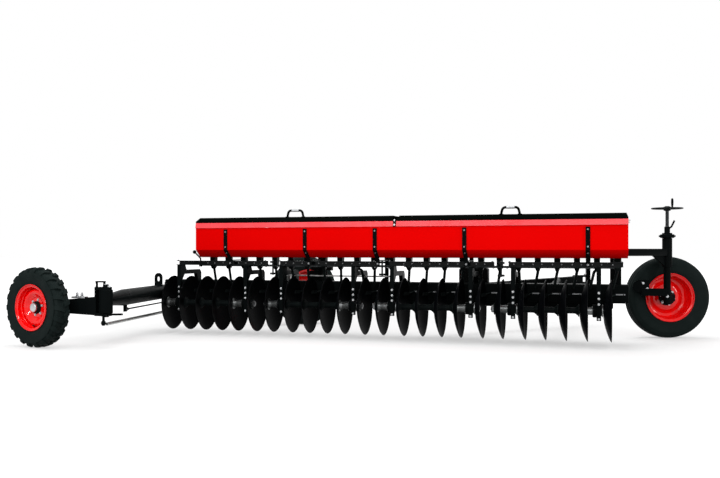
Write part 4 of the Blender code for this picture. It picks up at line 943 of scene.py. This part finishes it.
def make_wheel(wheel, tyre):
    """A wheel: its tyre, the pressed rim with rolled edges, the hub, the cap and the wheel bolts."""
    matrix = wheel_matrix(wheel)
    name = wheel["name"]
    w, r = wheel["width"] / 2, wheel["rim"]
    seat = r - BEAD_DEPTH
    under = seat - RIM_STEEL
    lip = section(w, r, ((0.93, 0.0), (0.955, 0.0015), (0.960, 0.005), (0.935, 0.0075), (0.88, 0.0085),
                         (0.835, 0.0125), (0.79, r - under)))
    well = section(w, under, ((0.45, 0.003), (0.36, 0.008), (0.10, 0.009), (-0.30, 0.009), (-0.40, 0.003)))
    top = [(w * 0.82, r - 0.004)] + section(w, seat, ((0.80, 0.0), (0.44, 0.0), (0.36, 0.006)))
    barrel = lip + well + flipped(lip)[::-1] + flipped(top) + top[::-1]
    inner = under - 0.0085
    face = smooth_path([(x, inner - depth) for x, depth in (
        (-0.004, 0.0), (0.010, 0.004), (0.026, 0.014), (0.0345, 0.030), (0.0325, 0.044), (0.022, 0.060),
        (0.0125, 0.076))] + [(0.0085, 0.078), (0.0085, 0.052)], 4)
    disc = face + [(x - 0.0055, radius) for x, radius in reversed(face)]
    rim = new_mesh()
    lathe(rim, barrel, RIM_SEGMENTS, closed=True)
    lathe(rim, disc, RIM_SEGMENTS, closed=True)
    hub = new_mesh()
    lathe(hub, [(-w * 0.745, 0.0228), (-w * 0.745, 0.047), (-w * 0.70, 0.0495), (-w * 0.30, 0.0495),
                (-0.014, 0.054),
                (-0.0125, 0.0725), (-0.0105, 0.0740), (0.0020, 0.0740), (0.0026, 0.0728), (0.0026, 0.0228)],
                56, closed=True)
    lathe(hub, on_axis((0.0086, 0.0520), (w * 0.17, 0.0515), (w * 0.20, 0.0500), (w * 0.44, 0.0430),
                       (w * 0.47, 0.0405)), 56)
    bright = new_mesh()
    lathe(bright, [(w * 0.471, 0), (w * 0.471, 0.0375), (w * 0.60, 0.0370), (w * 0.64, 0.0350),
                   (w * 0.67, 0.0310),
                   (w * 0.690, 0.0230), (w * 0.695, 0.0)], 48)
    for k in range(WHEEL_BOLTS):
        a = 2 * math.pi * (k + 0.25) / WHEEL_BOLTS
        y, z = BOLT_CIRCLE * math.sin(a), BOLT_CIRCLE * math.cos(a)
        hex_bolt(bright, (0.0087, y, z), (1, 0, 0), 0.0165)
        hex_bolt(bright, (-0.0127, y, z), (-1, 0, 0), 0.0165)
        rod(bright, (-0.030, y, z), (-0.014, y, z), 0.0045, 12)
    valve = new_mesh()
    rod(valve, (w * 0.30, 0, -(under - 0.001)), (w * 0.52, 0, -(under - 0.018)), 0.0045, 16)
    turned((w * 0.52, 0, -(under - 0.018)), 16, on_axis((0, 0.0055), (0.009, 0.0055), (0.010, 0.004)), valve,
           (0.68, 0, 0.52))
    for label, bm, mat, slot, bevel, part in (
            ("rim_steel", rim, WHEEL_RED, "red_paint", 0.0, "rim"),
            ("hub", hub, CAST, "red_paint", 0.0, "rim"),
            ("hub_bolts", bright, ZINC, "red_paint", 0.0, "rim"),
            ("valve", valve, RUBBER, "red_paint", 0.0, "rim"),
            ("tyre_skin", tyre(wheel), RUBBER, "tyre_rubber", 0.0, "tyre")):
        bm.transform(matrix)
        piece(f"{name}_{label}", bm, mat, name, 32.0, bevel, replaced=(f"{name}_{part}",))


# The wheels' mountings, the drawbar and the beam

def make_rear_arm():
    """The bent pipe with its flange, lifting lug, sleeve and rods, and the castor arm's trim."""
    kx, ky = KINGPIN
    z = PIPE_Z
    tube, plates, rods = new_mesh(), new_mesh(), new_mesh()
    bent_tube(tube, [(-0.15, BEAM_FRONT - 0.02, z), (-0.15, 0, z), (-0.02, -0.8, z),
                     (kx - 0.01, ky + 0.04, z)],
              PIPE_RADIUS, PIPE_SEGMENTS, 10, PIPE_END_RADIUS, reach=0.35)
    turned((kx, ky, EAR_LOW + 0.0223), 48, [(0, 0.0245), (0, SLEEVE_RADIUS - 0.002), (0.002, SLEEVE_RADIUS),
                                            (0.1863, SLEEVE_RADIUS), (0.1883, SLEEVE_RADIUS - 0.002),
                                            (0.1883, 0.0245)], tube)
    box(plates, -0.235, -0.065, BEAM_FRONT - 0.0203, BEAM_FRONT - SEAT_GAP, 0.15, z + 0.085)
    box(plates, -0.003, 0.013, -0.952, -0.908, 0.265, z - 0.03)
    lug_plate(plates, z)
    piece("rear_arm_pipe", tube, BLACK, replaced=("rear_arm",))
    piece("rear_arm_plates", plates, BLACK, bevel=0.002, replaced=("rear_arm",))
    bent_tube(rods, LINK_ROD, 0.007, 20, 6, reach=0.2)
    start = Vector(LINK_ROD[0])
    way = (Vector(LINK_ROD[1]) - start).normalized()
    turned(start, 28, on_axis((0.0, 0.0125), (0.004, 0.014), (0.048, 0.014), (0.052, 0.0125)), rods, way)
    turned(start + way * 0.054, 6, on_axis((0, 0.0125), (0.009, 0.0125)), rods, way)
    rod(rods, (-0.012, -0.93, 0.285), (0.022, -0.93, 0.285), 0.006, 20)
    piece("rear_link_rod", rods, IRON, replaced=("rear_arm",))
    bolts = new_mesh()
    for x in (-0.21, -0.09):
        for height in (0.185, 0.45):
            hex_bolt(bolts, (x, BEAM_FRONT - 0.0203, height), (0, -1, 0), 0.022)
    piece("rear_flange_bolts", bolts, ZINC)
    pole = new_mesh()
    a, b = Vector(TIE_ROD[0]), Vector(TIE_ROD[1])
    length = (b - a).length
    lathe(pole, [(0, 0.0098), (0, 0.0132), (0.0008, 0.014), (length - 0.0008, 0.014), (length, 0.0132),
                 (length, 0.0098)],
          PIPE_SEGMENTS, along(a, b - a), closed=True)
    piece("tie_rod_tube", pole, TUBE_STEEL, replaced=("tie_rod",))
    soft_node("rear_wheel_arm", BLACK, 0.002, 40.0, ARM_CUT)
    trim = new_mesh()
    hex_bolt(trim, (kx + 0.030, ky + 0.004, EAR_TOP), (0, 0, 1), 0.026)
    turned((kx, ky, KINGPIN_TOP), 40, on_axis((0, 0.019), (0.003, 0.019), (0.005, 0.016)), trim)
    xs, y = ARM_STUDS
    for x in xs:
        hex_bolt(trim, (x, y, 0.4182), (0, 0, 1), 0.024)
        rod(trim, (x, y, 0.412), (x, y, 0.452), 0.0065, 16)
        hex_bolt(trim, (x, y, 0.4340), (0, 0, 1), 0.022)
    box(trim, -0.195, -0.070, -1.442, -1.390, 0.4055, 0.4180)
    piece("arm_trim", trim, ZINC, "rear_steer", bevel=0.0006)


def lug_plate(bm, z):
    """The lifting lug on the pipe: a round-topped plate with an oval slot."""
    outer, hole = [], []
    for c, s in (polar(1, a) for a in angles(40)):
        height = 0.145 + 0.040 * s if s > 0 else 0.145 + 0.095 * max(-1.0, s * 1.6)
        outer.append((0.040 * max(-1, min(1, c * 1.0 if s > 0 else c * 1.6)), z + height))
        hole.append((0.014 * c, z + 0.1275 + (0.0085 if s > 0 else -0.0085) + 0.014 * s))
    rows = []
    for y in (-0.060, -0.044):
        rows.append([bm.verts.new((-0.14 + across, y, h)) for across, h in outer])
        rows.append([bm.verts.new((-0.14 + across, y, h)) for across, h in hole])
    skin(bm, [rows[0], rows[1], rows[3], rows[2]], closed=True)


def make_front():
    """The front beam, the post, its clamp and the depth screw with its handwheel."""
    px, py = POST
    soft_node("front_beam", BLACK, 0.0025, 40.0)
    soft_node("front_post", BLACK, 0.0015, 40.0)
    screw, wheel, knob = new_mesh(), new_mesh(), new_mesh()
    profile = [(SCREW_LOW, 0.0), (SCREW_LOW, 0.016)]
    z = SCREW_LOW + 0.010
    while z < HANDWHEEL_Z - 0.034:
        profile += [(z, 0.0160), (z + 0.0018, 0.0138), (z + 0.0032, 0.0138)]
        z += 0.005
    profile += [(HANDWHEEL_Z - 0.0215, 0.016), (HANDWHEEL_Z - 0.0215, 0.0)]
    turned((px, py, 0), 36, profile, screw)
    turned((px, py, HANDWHEEL_Z), 40, on_axis((-0.021, 0.026), (-0.017, 0.030), (0.012, 0.030),
                                              (0.016, 0.027), (0.017, 0.020), (0.020, 0.018)), wheel)
    ring = [(0.0065 * math.sin(2 * math.pi * k / 16),
             HANDWHEEL_RADIUS + 0.009 * math.cos(2 * math.pi * k / 16)) for k in range(16)]
    lathe(wheel, ring, 72, along((px, py, HANDWHEEL_Z), (0, 0, 1)), closed=True)
    for degrees in SPOKES:
        a = math.radians(degrees)
        rod(wheel, (px + 0.02 * math.cos(a), py + 0.02 * math.sin(a), HANDWHEEL_Z),
            (px + HANDWHEEL_RADIUS * math.cos(a), py + HANDWHEEL_RADIUS * math.sin(a), HANDWHEEL_Z), 0.0085,
            24, 0.0070)
    a = math.radians(KNOB_TURN)
    turned((px + HANDWHEEL_RADIUS * math.cos(a), py + HANDWHEEL_RADIUS * math.sin(a), HANDWHEEL_Z), 32,
           [(0.004, 0), (0.004, 0.0075), (0.016, 0.0080), (0.028, 0.0098), (0.050, 0.0106), (0.072, 0.0096),
            (0.081, 0.0065),
            (0.0838, 0)], knob)
    for label, bm, mat in (("thread", screw, IRON), ("handwheel", wheel, CAST), ("knob", knob, BLACK)):
        piece(f"depth_screw_{label}", bm, mat, "front_steer", replaced=("depth_screw",))
    trim = new_mesh()
    for side in (-1, 1):
        hex_bolt(trim, (px + side * 0.034, py - 0.033, 0.905), (side * 0.6, -0.8, 0), 0.012, washer=False)
    hex_bolt(trim, (px, py - 0.0305, 0.385), (0, -1, 0), 0.016)
    for x, height in ((px - 0.165, 0.452), (px - 0.20, 0.50)):
        hex_bolt(trim, (x, py - 0.0401, height), (0, -1, 0), 0.014)
    piece("post_trim", trim, ZINC, "front_steer")
    collar = new_mesh()
    turned((px, py, POST_COLLAR_Z), 48, [(0, 0.0422), (0, 0.055), (0.004, 0.060), (0.028, 0.060),
                                         (0.032, 0.055), (0.032, 0.0422)], collar)
    for side in (-1, 1):
        rod(collar, (px + side * 0.056, py - 0.004, 0.918), (px + side * 0.069, py - 0.005, 0.918), 0.008, 20)
    piece("post_collar", collar, BLACK, "front_steer")


def make_land_side():
    """The land wheel's axle, the lift cylinder and the mast behind the drill."""
    soft_node("land_axle", BLACK, 0.002, 40.0)
    soft_node("lift_mast", BLACK, 0.002)
    cx, cy, top = LIFT_TOP
    ram = new_mesh()
    turned((cx, cy, 0), 40, on_axis((top, 0.018), (top - 0.002, 0.020), (top - 0.128, 0.020),
                                    (top - 0.130, 0.0195), (top - 0.140, 0.0195), (top - 0.1405, 0.012),
                                    (top - 0.238, 0.012), (top - 0.24, 0.010)), ram)
    turned((cx, cy + 0.018, top - 0.03), 20, on_axis((0, 0.007), (0.006, 0.007), (0.006, 0.005),
                                                     (0.012, 0.005)), ram,
           (0, 1, 0))
    piece("lift_ram", ram, TUBE_STEEL, replaced=("lift_cylinder",))


def make_drawbar():
    """The drawbar, the hitch pin and the flanges' bolts."""
    soft_node("drawbar", BLACK, 0.002, 40.0)
    hx, hy = HITCH
    z = HITCH_PIN_Z
    pin = new_mesh()
    turned((hx, hy, z), 40, on_axis((-0.075, 0.012), (-0.072, 0.015), (0.0452, 0.015), (0.0452, 0.028),
                                    (0.058, 0.028), (0.060, 0.026), (0.060, 0.012), (0.118, 0.012),
                                    (0.120, 0.010)), pin)
    piece("hitch_pin_turned", pin, ZINC, replaced=("hitch_pin",))
    bolts = new_mesh()
    middles, asides, heights = DRAWBAR_BOLTS
    for x in middles:
        for aside in asides:
            for height in heights:
                hex_bolt(bolts, (x + aside, BEAM_BACK + 0.0183, height), (0, 1, 0), 0.020)
    piece("drawbar_bolts", bolts, ZINC)


def make_beam():
    """The main beam with its end plates, the metering drive's housing and the rod behind the discs."""
    soft_node("main_beam", BLACK, 0.003)
    soft_node("gear_housing", CAST, 0.004)
    plates = new_mesh()
    for x in BEAM_PLATES:
        box(plates, x, x + 0.003, BEAM_FRONT + 0.012, BEAM_BACK - 0.012, 0.354, 0.490)
    piece("beam_end_plates", plates, CAST, bevel=0.0008)
    linkage, brackets = new_mesh(), new_mesh()
    rod(linkage, (1.02, FEED_ROD_Y, 0.552), (2.095, FEED_ROD_Y, 0.552), 0.0065, 20)
    rod(linkage, (2.078, 0.262, 0.505), (2.078, 0.262, 0.690), 0.0095, 24)
    for x in FEED_BRACKETS:
        box(brackets, x - 0.004, x + 0.004, 0.276, 0.306, BEAM_TOP + 0.0002, 0.566)
    piece("feed_linkage", linkage, TUBE_STEEL)
    block = new_mesh()
    box(block, 1.285, 1.470, 0.372, 0.425, 0.600, 0.680)
    box(block, 1.238, 1.418, 0.392, 0.404, BEAM_TOP + 0.0002, 0.598)
    box(block, 1.262, 1.284, 0.380, 0.420, 0.600, 0.672)
    piece("hose_block", block, CAST, bevel=0.003)
    ports = new_mesh()
    for x in PORTS:
        turned((x, 0.372, 0.640), 20, on_axis((0, 0.011), (0.010, 0.011), (0.012, 0.008), (0.016, 0.008)),
               ports, (0, -1, 0))
    piece("hose_ports", ports, BOLT_ZINC)
    piece("linkage_brackets", brackets, CAST, bevel=0.001)


def make_scrapers():
    """The scraper bar under the beam, and a flat shank with a blade for the hollow side of each disc."""
    bar, shanks, blades = new_mesh(), new_mesh(), new_mesh()
    box(bar, *SCRAPER_BAR)
    for x in (x for xs in disc_centres() for x in xs):
        near = min(hanger_centres(), key=lambda h: abs(h - x - SCRAPER_MIDDLE))
        if abs(near - x - SCRAPER_MIDDLE) > SCRAPER_CLEAR:
            y = BEAM_FRONT - SEAT_GAP
            box(shanks, x + 0.030, x + 0.112, y - 0.008, y, 0.413, 0.424)
            hex_bolt(blades, (x + 0.098, y - 0.0082, 0.418), (0, -1, 0), 0.0085, washer=False)
            rod(blades, (x + 0.034, y - 0.004, 0.4185), (x - 0.008, 0.178, 0.404), 0.0065, 16)
            low, high = SCRAPER_YS
            rows = []
            for z in (0.389, 0.419):
                edge = [x + disc_face(math.hypot(v, z - AXLE_Z), False) + SCRAPER_GAP for v in (low, high)]
                rows.append([blades.verts.new(p) for p in ((edge[0], low, z), (edge[1], high, z),
                        (edge[1] + 0.018, high + 0.004, z),
                                                           (edge[0] + 0.010, low + 0.004, z))])
            solid(blades, rows)
    piece("scraper_bar", bar, BLACK, bevel=0.002)
    piece("scraper_shanks", shanks, BOLT_ZINC, bevel=0.001)
    piece("scraper_blades", blades, CAST)


# The studio

def make_studio():
    """A pale floor, white surroundings and soft lamps above and in front of the drill."""
    mesh = bpy.data.meshes.new("floor")
    bm = new_mesh()
    box(bm, -60, 60, -60, 60, -0.02, 0.0)
    bm.to_mesh(mesh)
    bm.free()
    floor = add_object("floor", mesh)
    mat, tree, shader, coords = shader_nodes("pale_floor")
    seen = seen_directly(tree)
    tree.links.new(mix_colour(tree, seen, (0.22, 0.22, 0.22), (0.43, 0.43, 0.43)),
                   shader.inputs["Base Color"])
    shader.inputs["Roughness"].default_value = 0.9
    shader.inputs["Specular IOR Level"].default_value = 0.0
    shader.inputs["Emission Color"].default_value = (1.0, 1.0, 1.0, 1.0)
    reach = new_node(tree, "ShaderNodeVectorMath", {0: coords}, operation="LENGTH")
    glow = ramp(tree, reach.outputs["Value"], FLOOR_NEAR, FLOOR_FAR, FLOOR_GLOW, 1.0)
    shown = new_node(tree, "ShaderNodeMath", {0: seen, 1: glow}, operation="MULTIPLY")
    tree.links.new(shown.outputs["Value"], shader.inputs["Emission Strength"])
    mesh.materials.append(mat)

    world = bpy.data.worlds.new("studio_air")
    world.use_nodes = True
    bpy.context.scene.world = world
    tree = world.node_tree
    back = tree.nodes["Background"]
    back.inputs["Color"].default_value = (1.0, 1.0, 1.0, 1.0)
    tree.links.new(ramp(tree, seen_directly(tree), 0.0, 1.0, AIR_LIGHT, 1.0), back.inputs["Strength"])

    for name, at, aim, size, power in LAMPS:
        light = bpy.data.lights.new(name, "AREA")
        light.shape = "RECTANGLE"
        light.size, light.size_y = size
        light.energy = power
        lamp = add_object(name, light)
        lamp.location = at
        lamp.rotation_euler = (Vector(aim) - Vector(at)).to_track_quat("-Z", "Y").to_euler()


def seen_directly(tree):
    """One for what the camera sees, also in a reflection or through glass, and zero for plain light."""
    paths = tree.nodes.new("ShaderNodeLightPath")
    value = paths.outputs["Is Camera Ray"]
    for kind in ("Is Glossy Ray", "Is Transmission Ray"):
        either = new_node(tree, "ShaderNodeMath", {0: value, 1: paths.outputs[kind]}, operation="MAXIMUM")
        value = either.outputs["Value"]
    return value


def make_camera():
    """The photograph's camera."""
    data = bpy.data.cameras.new("camera")
    data.sensor_width = SENSOR_MM
    data.lens = FOCAL_PIXELS / PHOTO_WIDTH * SENSOR_MM
    data.shift_x = (PHOTO_WIDTH / 2 - CENTRE_PIXEL[0]) / PHOTO_WIDTH
    data.shift_y = (CENTRE_PIXEL[1] - PHOTO_HEIGHT / 2) / PHOTO_WIDTH
    data.clip_end = 300.0
    camera = add_object("camera", data)
    camera.location = place(*CAMERA_AT)
    camera.rotation_euler = (math.radians(90), 0, math.radians(CAMERA_TURN))
    bpy.context.scene.camera = camera
    bpy.context.scene.view_settings.view_transform = "Standard"


def finish_cad_nodes():
    """Gives every CAD node its finish, also those that a finer piece stands for."""
    for name, obj in NODES.items():
        for held in obj.material_slots:
            held.material = SLOTS[NODE_SLOT[name]]


make_camera()
make_studio()
finish_cad_nodes()
make_gangs()
make_hangers()
make_rails()
make_hopper()
make_lids()
make_stands()
make_metering()
make_wheel(REAR_WHEEL, lugged_tyre)
make_wheel(FRONT_WHEEL, ribbed_tyre)
make_wheel(LAND_WHEEL, ribbed_tyre)
make_rear_arm()
make_front()
make_land_side()
make_drawbar()
make_beam()
make_scrapers()
